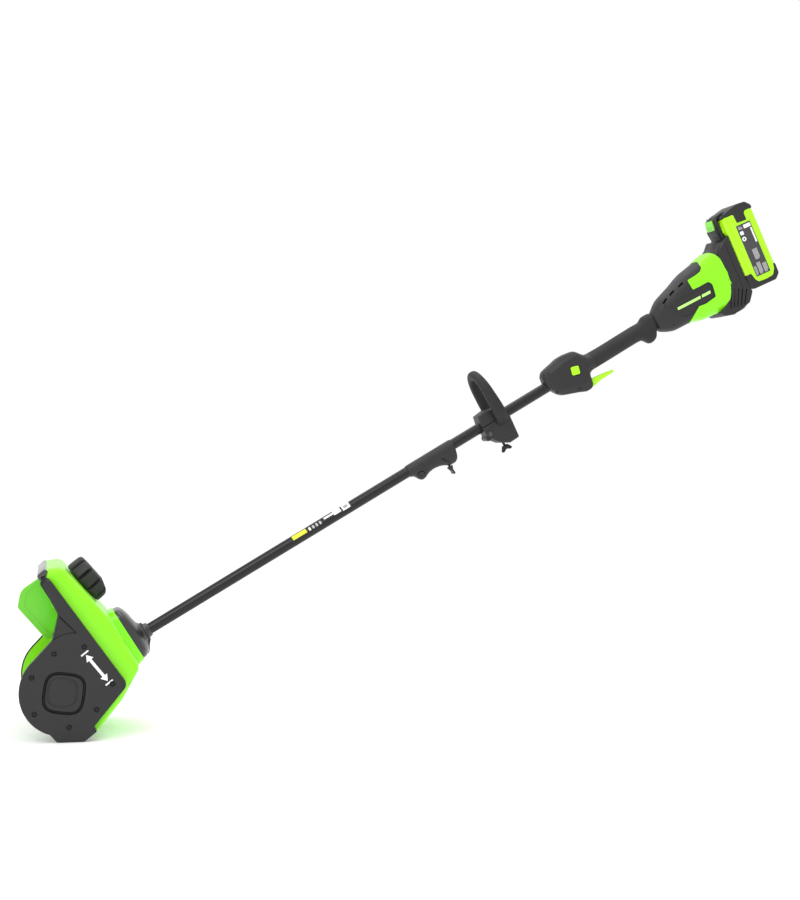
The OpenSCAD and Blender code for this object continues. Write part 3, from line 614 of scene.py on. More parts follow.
cut(cover, notch, COVER - 5, COVER + 1.3)
sink([(-14, 263), (-2, 250), (25.5, 222.5)], oval(1.1, 2.2, 12))
sink([(27, 221.5), (12, 221.6), (-4, 216.8), (-24, 207)], oval(1.0, 2.0, 12))
sink(squircle(2, 99.5, 39.4, 3.4, 96, -8), oval(3.3, 7.0, 24), COVER - 0.6, True)
sink(squircle(-1, 101, 28.5, 3.2, 72, -8), oval(2.2, 1.5, 12), COVER - 0.2, True)
raised = slab("boss_face", squircle(-1, 101, 26.6, 3.2, 72, -8), COVER - 0.9, COVER + 1, 1.7, n=4)
combine(cover, raised, "UNION")
for x, z in SCREWS:
    combine(cover, lathe("cut", [(5.0, -1.6), (5.0, 6)], HEAD, n=32, at=(x, COVER, z), axis="-Y"))
ring = [(4.9, -1.0), (4.9, 0.5), (5.3, 0.9), (5.9, 0.9), (6.6, 0.4), (6.9, -1.0)]
rings = [lathe("ring", ring, HEAD, n=36, at=(x, COVER, z), axis="-Y") for x, z in SCREWS]
settle(join("drive_cover_shell", [cover] + rings), "head", ["drive_cover"])

heads = []
star_outline = [(0, 1.4), (0.42, 0.42), (1.4, 0), (0.42, -0.42), (0, -1.4), (-0.42, -0.42), (-1.4, 0), (-0.42, 0.42)]
for i, (x, z) in enumerate(SCREWS):
    for face, axis in ((COVER + 0.9, "-Y"), (PLATE_OUT, "Y")):
        one = lathe("head", [(3.9, 0), (3.9, 0.6), (3.5, 1.2), (2.6, 1.55), (1.5, 1.6)], HEAD, SCREW_BLACK, 28,
                    at=(x, face, z), axis=axis)
        star = slab("cut", star_outline, -0.6, 3, 0)
        star.data.transform(Matrix.Translation(Vector((x, face, z)) * MM) @ turned(20 * i, "Y")
                            @ Matrix.Translation(Vector((0, -3.0 if axis == "-Y" else 0.6, 0)) * MM))
        combine(one, star)
        heads.append(one)
settle(join("side_screw_heads", heads), "head", ["side_screws"])

right = slab("right_plate", plate_outline(), WALL_OUT, PLATE_OUT, 1.2)
boss = slab("right_boss", squircle(2, 99, 36, 3.2, 72, -8), PLATE_OUT - 1, PLATE_OUT + 7, 3.5, n=5)
settle(join("right_side_shell", [right, boss]), "head", ["right_side_plate"])

# the mark for the working width: a plain two-headed arrow between two end bars
mark_a, mark_b = Vector((42, 181)), Vector((93, 118))
along = (mark_b - mark_a).normalized()
acrossways = Vector((-along.y, along.x))
length = (mark_b - mark_a).length


def mark_point(u, w):
    p = mark_a + along * u + acrossways * w
    return (p.x, p.y)


arrow = [mark_point(u, w) for u, w in ((6, 0), (19, 8.5), (19, 3), (length - 19, 3), (length - 19, 8.5),
                                      (length - 6, 0), (length - 19, -8.5), (length - 19, -3), (19, -3), (19, -8.5))]
bars = [[mark_point(u0 + u, w) for u, w in ((0, -9), (3.2, -9), (3.2, 9), (0, 9))] for u0 in (0, length - 3.2)]
marks = [slab("m", outline, COVER - 0.25, COVER + 0.1, 0.08, HEAD, WHITE, 1) for outline in [arrow] + bars]
settle(join("width_mark", marks), "head")

# the discharge vane and the knob that turns it
vane_outline = [(44, -62, 4), (-20, -46, 4), (-58, -47, 10), (-70, -58, 16), (-75, -102, 30), (-52, -131, 12),
                (38, -131, 10), (47, -116, 10)]
vane = slab("vane_sheet", vane_outline, -2.6, 2.6, 1.6, KNOB, PALE, 4)
rib_outer = [(-52, -57, 6), (-68, -70, 10), (-68, -98, 24), (-48, -123, 8), (34, -123, 8), (40, -113, 8),
             (38, -70, 4)]
rib_inner = [(-49, -61, 6), (-64, -74, 10), (-64, -96, 22), (-45, -119, 8), (31, -119, 8), (36, -111, 8),
             (34, -74, 4)]
rib = slab("vane_rib", rib_outer, -3.4, 3.4, 0.8, KNOB, PALE, 2)
cut(rib, rib_inner, -9, 9, KNOB)
tube = lathe("vane_tube", [(6.2, -46), (9.4, -46), (10, -47), (10, -75), (9, -76), (0.01, -76)], KNOB, PALE, 40)
settle(join("deflector_sheet", [vane, rib, tube]), "deflector", ["deflector_vane"])

KNOB_POINTS, KNOB_LOBES, LOBE_FLAT = 288, 10, 0.7


def lobed(r, depth, z):
    """A ring of points with lobes, wide and flat outside and narrow between."""
    out = []
    for k in range(KNOB_POINTS):
        q = 2 * math.pi * k / KNOB_POINTS
        w = abs(((q * KNOB_LOBES / (2 * math.pi)) % 1.0) - 0.5) * 2
        g = max(0.0, (w - LOBE_FLAT) / (1 - LOBE_FLAT))
        g = g * g * (3 - 2 * g)
        d = r - depth * g
        out.append((d * math.cos(q), d * math.sin(q), z))
    return out


knob_rings = [lobed(40, 0.3, 2), lobed(45.5, 1.0, 2.1), lobed(47.4, 2.5, 3.5), lobed(48.6, 5.5, 6), lobed(49, 7.0, 11)]
knob_rings += [lobed(49 - 0.035 * (z - 11) ** 1.15, 7.0, z) for z in (16, 20, 24, 28, 32)]
knob_rings += [lobed(46.9, 6.6, 35), lobed(45.6, 6.0, 37.4), lobed(43.6, 5.0, 39), lobed(41, 4.0, 39.9),
               lobed(37, 2.0, 40.2), lobed(34, 0.6, 39.8), lobed(32.5, 0.1, 38.8), lobed(31.5, 0, 38), lobed(12, 0, 38)]
knob = new_object("knob_body", *rings_to_mesh(knob_rings), KNOB, BLACK, 40)
slope = [(17, 41.2, 6), (38, 33.5, 8), (46.5, 26.5, 6), (50.5, 14), (80, 14), (80, 60), (0, 60), (0, 41.2)]
cut(knob, slope, -60, 60, KNOB)
cap = lathe("knob_cap", [(13.5, 37.5), (13.5, 39.4), (12.6, 40.1), (0.01, 40.3)], KNOB, BLACK_SMOOTH, 48)
pointer = slab("knob_pointer", rect(-2.2, 2.2, 15, 27, 1), -39.0, -37.8, 0.4, KNOB @ turned(-90, "X"), BLACK_SMOOTH)
settle(join("knob_shell", [knob, cap, pointer]), "deflector", ["deflector_knob", "knob_screw"])

# ---------------------------------------------------------------- the boom's socket and the coupler
socket_rows = Skin([(164, 75.5, -42.5, 60, 5), (170, 75.5, -43, 60, 5), (176, 75, -43.5, 59, 4.8),
                    (181, 72, -42.5, 56.5, 4.2), (186, 64.5, -40, 51, 3.5), (190, 53, -36, 43, 2.9),
                    (193, 38, -31, 34, 2.5), (195.5, 28, -26.5, 27, 2.3), (199, 23, -22, 22.5, 2.1),
                    (203, 20, -18.6, 19.4, 2.0), (207, 17, -16.5, 17, 2), (212, 15.5, -15, 15.5, 2),
                    (213.5, 14.4, -14.4, 14.4, 2)])
socket = socket_rows.mesh("socket_cone", 164, 213.5, mat=BLACK_SATIN, step=1.0, n=128)
lug = slab("socket_lug", [(180, -28, 3), (203, -12, 3), (204, -20, 4), (197, -28, 4), (191.5, -37, 4),
                          (186, -43.5, 4), (178, -42, 3)], -11, 11, 2.5, BOOM)
collar = lathe("socket_collar", [(12.1, 196), (20.6, 196), (21.6, 197), (21.6, 203.6), (20.6, 204.6), (12.1, 204.6)],
               BOOM, axis="X")
settle(join("socket_shell", [socket, lug, collar]), "head", ["boom_socket"])
bolt = [(0.01, 9), (2.9, 9), (2.9, 12.6), (2.3, 13.4), (1.3, 13.5), (1.2, 12), (0.01, 12)]
bolts = [lathe("bolt", bolt, BOOM, SCREW_BLACK, 28, at=(s, 0, n), axis=axis)
         for s, n in ((193, -22.5), (187, -34.5)) for axis in ("-Y", "Y")]
settle(join("socket_bolt_heads", bolts), "head", ["socket_bolts"])


def pole_mark(s0, s1, low, high, mat, outer=12.15):
    """A printed band on the lower tube's left side, between two angles up from the side's middle."""
    verts, steps = [], 10
    for s in (s0, s1):
        for r in (outer, 11.7):
            for k in range(steps + 1):
                a = math.radians(low + (high - low) * k / steps)
                verts.append((s, -r * math.cos(a), r * math.sin(a)))
    row = steps + 1
    ring = list(range(row)) + [row + k for k in reversed(range(row))]
    faces = [ring, [2 * row + k for k in reversed(ring)]]
    faces += [(a, 2 * row + a, 2 * row + b, b) for a, b in zip(ring, ring[1:] + ring[:1])]
    return new_object("mark", verts, faces, BOOM, mat)


marks = [pole_mark(575, 610, 12, 66, YELLOW), pole_mark(616, 620.5, 12, 50, WHITE)]
marks += [pole_mark(s, s + 4.5, 12, 50, GREY_LIGHT) for s in (625, 634, 643)]
marks += [pole_mark(656, 680, 34, 58, WHITE), pole_mark(680, 698, 16, 84, WHITE), pole_mark(702, 721, 8, 84, WHITE),
          pole_mark(706, 716, 24, 60, GREY, 12.25)]
settle(join("pole_marks", marks), "head")

coupler_rows = Skin([(871.5, 12.6, -13.2, 12.9, 2), (872.5, 13.4, -14.2, 13.8, 2), (876, 13.7, -15, 14.1, 2),
                     (880, 13.7, -18.5, 14.3, 2.1), (884, 13.7, -25.5, 14.8, 2.3), (888, 13.7, -30, 15.2, 2.4),
                     (893, 13.7, -32.3, 15.4, 2.5), (899, 13.7, -31.7, 15.2, 2.5), (906, 13.7, -28.8, 14.8, 2.4),
                     (915, 13.7, -25.6, 14.5, 2.3), (926, 13.7, -24.5, 14.5, 2.3), (940, 13.7, -26.4, 14.5, 2.3),
                     (950, 13.7, -30.2, 14.8, 2.4), (958, 13.7, -34.5, 15.2, 2.5), (966, 13.7, -37, 15.4, 2.5),
                     (974, 13.7, -37, 15.4, 2.5), (981, 13.7, -34, 15.2, 2.4), (986, 13.6, -27.5, 14.8, 2.3),
                     (988.5, 13.2, -18.5, 14.2, 2.1), (990, 12.6, -13.6, 13, 2)])
coupler = coupler_rows.mesh("coupler_body", 871.5, 990, step=1.5, n=96)
BUTTON_S, BUTTON_N = 893, -20.5
for y, axis in ((-15.3, "-Y"), (15.3, "Y")):
    combine(coupler, lathe("cut", [(9.3, -2.6), (9.3, 6)], BOOM, n=48, at=(BUTTON_S, y, BUTTON_N), axis=axis))
combine(coupler, lathe("cut", [(8.6, -8.6), (8.6, 4.5)], BOOM, n=40, at=(BUTTON_S, -14.0, BUTTON_N), axis="-Y"))
rib_a = slab("coupler_rib", [(948, -13, 4), (958, -31, 3), (962, -31, 1), (953, -11, 3)], -15.7, 15.7, 0.9, BOOM)
rib_b = slab("coupler_rib2", rect(905, 985, 2.2, -2.2, 1), -14.7, 14.7, 0.9, BOOM)
settle(join("coupler_shell", [coupler, rib_a, rib_b]), "upper_boom", ["coupler"])
button = lathe("coupler_button", [(0.01, 9.2), (5, 9.2), (5, 10.6), (7.9, 10.6), (7.9, 13.9), (7.2, 14.6),
                                  (5.4, 14.9), (4.4, 14.3),
                                  (0.01, 14.1)], BOOM, BLACK_SMOOTH, 48, at=(BUTTON_S, 0, BUTTON_N), axis="-Y")
settle(button, "coupler_button", ["release_button"])

WING = BOOM @ Matrix.Translation((960, 0, 0))
stem = lathe("w", [(0.01, -20), (2.9, -20.3), (2.9, -38), (6.8, -38.4), (7.2, -39.2), (6.4, -42), (4.2, -47),
                   (3.2, -50), (0.01, -50.4)], WING, SCREW_BLACK, 32)
blade = slab("w", [(-6, -39.5, 2), (-13.5, -55, 4), (-8, -58.5, 3), (0, -47, 6), (8, -58.5, 3), (13.5, -55, 4),
                   (6, -39.5, 2)], -2.3, 2.3, 1.1, WING @ turned(90, "Z"), SCREW_BLACK)
settle(join("coupler_wing", [stem, blade]), "coupler_wing", ["coupler_wing_screw"])

# ---------------------------------------------------------------- the front handle
loop_path = [(-14, -16), (-26, -6), (-36, 4), (-42, 15), (-44.5, 28), (-45, 44), (-44.5, 60)]
loop_path += [(44.5 * math.cos(math.radians(q)), 62 + 47 * math.sin(math.radians(q))) for q in range(172, 7, -8)]
loop_path += [(-y, n) for y, n in loop_path[6::-1]]
loop_len = len(loop_path) - 1


def loop_section(t):
    n = loop_path[round(t * loop_len)][1]
    half = 14.6 - 0.055 * max(0, n - 15)
    return oval(9.4, half, 40, 2.7)


def loop_centre(y, n):
    return (1110.5 - 0.012 * max(0, n - 20), y, n)


loop = sweep("loop_bar", [loop_centre(y, n) for y, n in loop_path], loop_section, BOOM, RUBBER, (1, 0, 0), sharp=60)
base_outline = [(1063, 9, 2), (1067, 27, 2), (1090, 29.5, 4), (1128, 19, 5), (1132, -10, 4), (1127, -60, 4),
                (1102, -61, 6), (1083, -50, 8), (1070, -34, 5), (1063, -24, 4)]
base = slab("loop_base", base_outline, -26, 26, 4.5, BOOM, BLACK, 5)
bore(base, 12.1, 1040, 1150)
combine(base, box("cut", (1050, -40, -1.0), (1150, 40, 0.6), BOOM))
combine(base, box("cut", (1050, -7, -80), (1096, 7, -30), BOOM))
pad = slab("loop_pad", [(1076, -6, 4), (1119, -6, 4), (1117, -50, 4), (1100, -52, 4), (1080, -40, 5)],
           -27, 27, 1.2, BOOM)
washer = lathe("loop_bolt", [(0.01, 26), (5.2, 26), (5.2, 29), (4.4, 30), (2.6, 30), (2.4, 28.6), (0.01, 28.6)],
               BOOM, DARK_STEEL, 36, at=(1072, 0, -20), axis="-Y")
barrel = lathe("loop_barrel", [(0.01, -21), (5.4, -21), (6.8, -19.6), (6.8, 19.6), (5.4, 21), (0.01, 21)],
               BOOM, n=40, at=(1065, 0, -27.5), axis="Y")
settle(join("loop_shell", [loop, base, pad, washer, barrel]), "loop_handle", ["front_handle"])
NUT = BOOM @ Matrix.Translation((1093, 0, 0))
stem = lathe("n", [(0.01, -30), (2.9, -30), (2.9, -62), (7.4, -62.4), (7.9, -63.4), (7.2, -70), (6.2, -71.2),
                   (0.01, -71.2)], NUT, SCREW_BLACK, 36)
blade = slab("n", [(-7, -62.5, 2), (-14, -73, 3), (-9.5, -76.5, 3), (0, -71.5, 4), (9.5, -76.5, 3), (14, -73, 3),
                   (7, -62.5, 2)], -2.6, 2.6, 1.2, NUT, SCREW_BLACK)
settle(join("loop_nut", [stem, blade]), "handle_wing", ["handle_wing_nut"])

# ---------------------------------------------------------------- trigger housing and rear grip
housing_rows = Skin([
    (1241.5, 22, 1, 12, 2.6), (1243, 27, -3, 15, 3.0), (1247, 32, -9, 18, 3.4), (1252, 35.5, -17, 20.5, 3.8),
    (1258, 37.2, -26, 22, 4.0), (1266, 38.8, -33.5, 23.2, 4.2), (1280, 41.3, -39, 24, 4.4),
    (1298, 44.6, -45.6, 24.4, 4.5), (1310, 44.6, -50.5, 24.4, 4.4), (1320, 43.4, -54.6, 24.2, 4.2),
    (1329, 42.0, -54.9, 23.8, 4.0), (1335, 40.6, -53.4, 23.4, 3.8), (1339, 38.0, -49, 23, 3.5),
    (1341, 36.3, -41, 22.4, 3.2), (1343.5, 33.6, -31, 22, 2.9), (1347, 29.5, -25, 21.2, 2.6),
    (1352, 23.5, -22, 20.4, 2.3), (1357, 20, -20.8, 19.8, 2.1), (1363, 18.8, -20.4, 19.5, 2),
    (1368, 18.5, -20.3, 19.4, 2)])


def seam(p, q, depth=0.9, width=2.6):
    """Sinks the parting line along the top and the bottom."""
    x, y, z = p
    w = max(0.0, 1 - abs(y) / width)
    return (x, y, z - math.copysign(depth * w * w, math.sin(math.radians(q)))) if w else p


CHAMFER_START = 1.62  # the chamfer starts where the shares of height and width add up to this


def housing_shape(p, s, q):
    """Two chamfers along the housing, then its parting line."""
    x, y, z = p
    top, bot, wid, _ = housing_rows.at(s)
    h = top if z > 0 else -bot
    over = abs(z) / h + abs(y) / wid - CHAMFER_START if 1250 < s < 1346 and h > 5 else 0
    if over > 0:
        z -= math.copysign(over / 2 * h, z)
        y -= math.copysign(over / 2 * wid, y)
    return seam((x, y, z), q)


housing = housing_rows.mesh("trigger_housing", 1241.5, 1366, step=1.6, n=144, shape=housing_shape, sharp=26)
bore(housing, 12.6, 1200, 1247)
BUTTON = BOOM @ Matrix.Translation((1314.8, 0, 1.6)) @ turned(16, "Y")


def square(h, r):
    return rect(-h, h, -h, h, r)


cut(housing, square(12.2, 5), -60, -23.2, BUTTON)
cut(housing, square(10.2, 3.6), -60, -17, BUTTON)
cut(housing, [(1300, -45, 3), (1310, -70, 1), (1352, -70, 1), (1352, -26, 1), (1330, -26, 3)], -8.6, 8.6, BOOM)
frame_ring = slab("button_frame", square(13.4, 5.4), -24.9, -22, 0.8, BUTTON, BLACK)
cut(frame_ring, square(11.4, 4.6), -60, 0, BUTTON)
bits = [housing, frame_ring]
for s, n in ((1258, 26), (1256, -20), (1306, -42)):
    y = abs(housing_rows.point(s, housing_rows.angle(s, n))[1])
    well = [(0.01, y - 3), (2.9, y - 3), (2.9, y - 0.1), (4.0, y + 0.35), (4.4, y - 0.4)]
    bits.append(lathe("screw_well", well, BOOM, BLACK_SMOOTH, 32, at=(s, 0, n), axis="-Y"))
settle(join("handle_shell", bits), "upper_boom", ["handle_shell_left", "handle_shell_right"])
side_button = slab("side_button", square(9.7, 3.2), -26.3, -19, 1.6, BUTTON, LIME, 5)
cut(side_button, square(6.2, 2.6), -40, -25.6, BUTTON)
settle(side_button, "side_button", ["lock_off_button"])
lever = slab("trigger_blade", [(1317, -33, 5), (1318, -44, 5), (1341, -53.5, 7), (1362, -49.5, 26), (1399, -49, 2.2),
                               (1399, -43.5, 2.2), (1380, -40, 20), (1362, -37.5, 16), (1350, -36, 6),
                               (1336, -30, 5)],
             -7.2, 7.2, 2.6, BOOM, LIME, 4)
settle(lever, "trigger_lever", ["trigger"])

grip_rows = Skin([(1355, 19.2, -20.3, 19.3, 2), (1366, 18.5, -20.4, 19.3, 2), (1400, 18, -20.6, 19.2, 2),
                  (1450, 18.6, -20.2, 19.2, 2), (1480, 18.8, -20, 19.2, 2), (1491, 18.6, -21, 19.0, 2.1),
                  (1497, 18.2, -25, 18.8, 2.3), (1502, 18, -31.5, 18.8, 2.5), (1506, 18.3, -36, 19, 2.6),
                  (1511, 20, -37.6, 19.4, 2.7), (1516, 23, -37.2, 19.8, 2.8), (1521, 24.8, -35.8, 20, 2.8),
                  (1527, 25, -32, 20, 2.7), (1532, 24.8, -24, 19.6, 2.6), (1537, 24.2, -17, 18.8, 2.4),
                  (1542, 21, -14.5, 16.5, 2.2), (1546, 17, -14, 14.5, 2), (1552, 15, -13.5, 14, 2)])


RIBS_FROM, RIBS_TO, RIB_PITCH, RIB_DEPTH, GRIP_R = 1378, 1484, 6.0, 0.35, 19.3


def grip_shape(p, s, q):
    """The grip's parting line, and shallow rings of ribs that fade towards its ends."""
    x, y, z = seam(p, q, 0.5, 1.8)
    if not RIBS_FROM < s < RIBS_TO:
        return (x, y, z)
    fade = math.sin(math.pi * (s - RIBS_FROM) / (RIBS_TO - RIBS_FROM)) ** 0.4
    k = RIB_DEPTH * fade * (0.5 - 0.5 * math.cos(2 * math.pi * (s - RIBS_FROM) / RIB_PITCH))
    f = 1 - k / GRIP_R
    return (x, y * f, z * f)


grip = grip_rows.mesh("grip_body", 1355, 1552, mat=RUBBER, step=1.2, n=96, shape=grip_shape)
settle(grip, "upper_boom", ["rear_grip"])

# ---------------------------------------------------------------- motor housing
motor_rows = Skin([
    (1538, 13, -11, 14, 2.1), (1539, 16.5, -17, 18, 2.3), (1541, 19.5, -23, 21, 2.5), (1545, 23, -28, 23, 2.6),
    (1552, 27.5, -32, 26, 2.8), (1563, 35, -37.5, 30.5, 2.9), (1574, 40.5, -40.6, 34, 3.0),
    (1600, 48, -42.3, 38.6, 3.1), (1618, 53, -43.4, 40.2, 3.2), (1628, 56.5, -46.5, 41, 3.2),
    (1640, 60.5, -51, 41.7, 3.3), (1653, 64, -53, 42.3, 3.3), (1674, 67, -55, 42.8, 3.4),
    (1686, 68.5, -59, 43, 3.5), (1697, 70, -65, 43.1, 3.6), (1706, 72, -72, 43.2, 3.8),
    (1714, 73.5, -77.5, 43.3, 4.0), (1729, 75, -80, 43.4, 4.2), (1737, 78, -80, 42.6, 4.3), (1752, 90, -76, 41, 4.4)])


def motor_shape(p, s, q):
    """The two long facets of the housing and its parting line."""
    x, y, z = p
    top, bot, wid, _ = motor_rows.at(s)
    # an upper facet cuts the shoulder, and a lower one cuts the chine
    for up, share in ((1, 0.135), (-1, 0.12)):
        h = top if up > 0 else -bot
        over = (z * up) / h + abs(y) / wid - (2 - 2 * share) if h > 0 else 0
        if over > 0 and s > 1546:
            k = over / 2
            z -= up * k * h
            y -= math.copysign(k * wid, y)
    return seam((x, y, z), q, 0.8, 1.8) if s > 1541 else (x, y, z)


motor = motor_rows.mesh("motor_body", 1538, 1752, step=2.0, n=160, shape=motor_shape, sharp=28)


def side_surface(s, n, lift, side):
    """A point of the motor housing's side at place s and height n."""
    q = motor_rows.angle(s, n)
    x, y, z = motor_shape(motor_rows.point(s, q if side < 0 else 180 - q), s, q)
    d = Vector((y, z - 5)).normalized()
    return (x, y + d.x * lift, z + d.y * lift)


def ring_point(s, q, lift):
    """A point of the motor housing at place s and angle q, lifted off it."""
    x, y, z = motor_shape(motor_rows.point(s, q), s, q)
    d = Vector((y / 43, (z - 5) / 60)).normalized()
    return (x, y + d.x * lift, z + d.y * lift)


def dense(pts, step):
    """A closed outline with points no further apart than step."""
    out = []
    for i, p in enumerate(pts):
        a = pts[i - 1]
        m = max(1, math.ceil(math.hypot(p[0] - a[0], p[1] - a[1]) / step))
        out += [(a[0] + (p[0] - a[0]) * k / m, a[1] + (p[1] - a[1]) * k / m) for k in range(1, m + 1)]
    return out


def side_patch(name, outline, thick, mat, side, edge):
    """A sheet with the outline's shape on one side of the motor housing."""
    flat = dense(rounded(outline, 4), 3.0)
    return patch(name, flat, lambda s, v, lift: side_surface(s, v, lift, side), thick, 3.0, BOOM, mat, edge)


def side_cut(outline, depth, side):
    """A cutter with the outline's shape that follows the side down to a depth."""
    flat = tidy(counterclockwise(dense(rounded(outline), 5.0)))
    low = [side_surface(s, n, -depth, side) for s, n in flat]
    high = [(q[0], q[1] + side * 12, q[2]) for q in low]
    c = [sum(q[k] for q in low) / len(low) for k in range(3)]
    mid = side_surface(c[0], c[2], -depth, side)
    verts = low + high + [mid, (mid[0], mid[1] + side * 12, mid[2])]
    n = len(low)
    faces = [((k + 1) % n, k, 2 * n) for k in range(n)] + [(n + k, n + (k + 1) % n, 2 * n + 1) for k in range(n)]
    faces += [(k, (k + 1) % n, n + (k + 1) % n, n + k) for k in range(n)]
    return new_object("cut", verts, faces, BOOM)


PANEL_LINE = [(1579, 15, 3), (1600, 17.5, 30), (1684, 17.5, 5), (1689, 9, 9), (1683, -17.5, 4), (1657, -19, 20),
              (1638, -16.5, 3), (1620, -26.5, 8), (1597, -24, 10)]
SLOTS = ((1578, 34.5, 27), (1601, 42.5, 20), (1628, 48.5, 15))


def slot_line(s, n, half, t, lean):
    """The outline of a slot about (s, n), leaning by an angle in degrees."""
    c, q = math.cos(math.radians(lean)), math.sin(math.radians(lean))
    return [(s + u * c - v * q, n + u * q + v * c, t * 0.9) for u, v, _ in rect(-half, half, -t, t)]


for side in (-1, 1):
    combine(motor, side_cut(PANEL_LINE, 1.3, side))
    for s, n, lean in SLOTS:
        combine(motor, side_cut(slot_line(s, n, 7.5, 2.2, lean), 4.0, side))
bits = [motor]
# near-black sheets on the slots' floors are painted shade deep in the vents
for s, n, lean in SLOTS:
    for side in (-1, 1):
        bits.append(side_patch("painted_shade_slot_floor", slot_line(s, n, 7.8, 2.5, lean), -3.6, SLOT_SHADE, side, 0.1))
for s, n in ((1571, -26), (1575, 22)):
    for side, axis in ((-1, "-Y"), (1, "Y")):
        y = abs(side_surface(s, n, 0, side)[1])
        boss = [(0.01, y - 1.6), (2.6, y - 1.6), (2.6, y - 0.2), (3.8, y + 0.5), (4.6, y + 0.2), (5.2, y - 1.2)]
        bits.append(lathe("screw_boss", boss, BOOM, BLACK_SMOOTH, 36, at=(s, 0, n), axis=axis))
settle(join("motor_shell", bits), "upper_boom",
       ["motor_shell_left", "motor_shell_right", "housing_screws"])

# the green trim wraps over the top and under the bottom
TRIM_SIDE = [(1691, 62, 2), (1690, 55, 6), (1682, 48.5, 8), (1668, 46.5, 10), (1645.5, 46, 3), (1644.5, 22, 3),
             (1664, 20.5, 20), (1686.5, 19.5, 6), (1692, 10, 10), (1685.5, -18.5, 4.5), (1657, -21, 20),
             (1639, -18, 4), (1622, -29, 8), (1609, -38, 3)]
TRIM_BACK = [(1704, -52, 14), (1722, -28, 40), (1733, -6, 60), (1740.5, 24, 60), (1739, 50, 30), (1733, 66, 10)]


def line_points(a, b, count, first, last):
    """Points at even steps on the way from a, step 0, to b, step count."""
    return [(a[0] + (b[0] - a[0]) * k / count, a[1] + (b[1] - a[1]) * k / count) for k in range(first, last + 1)]


def side_line(pts):
    """An open line on the motor's side, at most 3 mm from point to point, as (place, angle)."""
    line = []
    for a, b in zip(pts, pts[1:]):
        count = max(1, math.ceil(math.hypot(b[0] - a[0], b[1] - a[1]) / 3))
        line += line_points(a, b, count, 0, count - 1)
    return [(s, motor_rows.angle(s, n)) for s, n in line]


def trim_half(side):
    """Half of the trim: down its front line, along the bottom, up its back line and along the top."""
    pts = side_line(rounded([(1693, 66, 0)] + TRIM_SIDE + [(1606, -41, 0)], 4))
    rear = side_line(rounded([(1697, -60, 0)] + TRIM_BACK + [(1728, 71, 0)], 4))
    start = pts[0]
    pts += line_points(pts[-1], (1612, 270), 8, 1, 8)
    pts += line_points((1612, 270), (1692, 270), 20, 1, 20)
    pts += line_points((1692, 270), rear[0], 6, 1, 5)
    pts += rear
    pts += line_points(rear[-1], (1724, 90), 6, 1, 6)
    pts += line_points((1724, 90), (1697, 90), 8, 1, 8)
    pts += line_points((1697, 90), start, 6, 1, 5)
    pts = [(s, 90 if q < 90.5 else 270 if q > 269.5 else q) for s, q in pts]
    if side > 0:
        pts = [(s, 180 - q) for s, q in pts]
    return patch("trim_half", pts, ring_point, 1.5, (4.0, 5.0), BOOM, GREEN, 0.6)


settle(join("motor_trim_shell", [trim_half(-1), trim_half(1)]), "upper_boom", ["motor_trim"])

stripe = [(1594, 5.0, 1.2), (1654, 1.8, 1.2), (1652, -4.6, 1.2), (1592, -1.4, 1.2)]
stripe_end = [(1657.5, 1.6, 1.2), (1680.5, 0.4, 1.2), (1678.5, -6.0, 1.2), (1655.5, -4.8, 1.2)]
marks = [side_patch("m", o, -0.95, PALE_MARK, side, 0.15) for o in (stripe, stripe_end) for side in (-1, 1)]
settle(join("motor_stripe", marks), "upper_boom")

# ---------------------------------------------------------------- battery dock
HALF, GUARD, LABEL_DEPTH = 44.0, 0.8, 0.9  # half the width of dock and battery, and what stands off or is sunk


def side_bands(depth):
    """The y ranges of cutters that go into both sides of the dock or the battery by a depth."""
    return (-HALF - 4, -HALF + depth), (HALF - depth, HALF + 4)


dock_outline = [(-31, 37, 6), (-41, 29.5, 10), (-56, 19, 10), (-62.5, 9, 12), (-62, -8, 20), (-62.5, -30, 30),
                (-64.5, -60, 30), (-69.5, -79, 30), (-79, -94, 20), (-92, -104, 10), (-112, -114, 6),
                (-104, -125, 12), (-82, -131, 10), (-58, -126, 10), (-36, -120.5, 5), (-25, -107, 6),
                (-19.5, -99.5, 2), (-21, -92, 2), (-22.9, -66, 3), (-22.9, 41.5, 1)]
dock = slab("dock_body", dock_outline, -HALF, HALF, 2.4, BATT, n=4)
block = [(-37.5, 30, 0), (-37.3, 42, 3), (-39.6, 56, 2.5), (-39.6, 60, 1.5), (-36.6, 67, 4), (-34.6, 78, 6),
         (-31.5, 85.5, 6), (-26.8, 88.8, 2), (-26.8, 30, 0)]
combine(dock, slab("dock_block", block, -24, 24, 1.2, BATT), "UNION")
wall = [(-33, 30, 0), (-33, 80, 4), (-30.5, 84.5, 4), (-26.8, 87.5, 1), (-26.8, 30, 0)]
combine(dock, slab("dock_wall", wall, -30, 30, 1.0, BATT), "UNION")
cut(dock, rect(-60, -31.2, 60.2, 95), -20.8, 20.8, BATT)
cut(dock, [(-36, -40, 2), (-10, -40, 0), (-10, 34, 0), (-36, 34, 2)], -26, 26, BATT)
for y in (-38, 38):
    cut(dock, [(-29, -60, 1), (-10, -60, 0), (-10, 130, 0), (-29, 130, 1)], y - 2.2, y + 2.2, BATT)
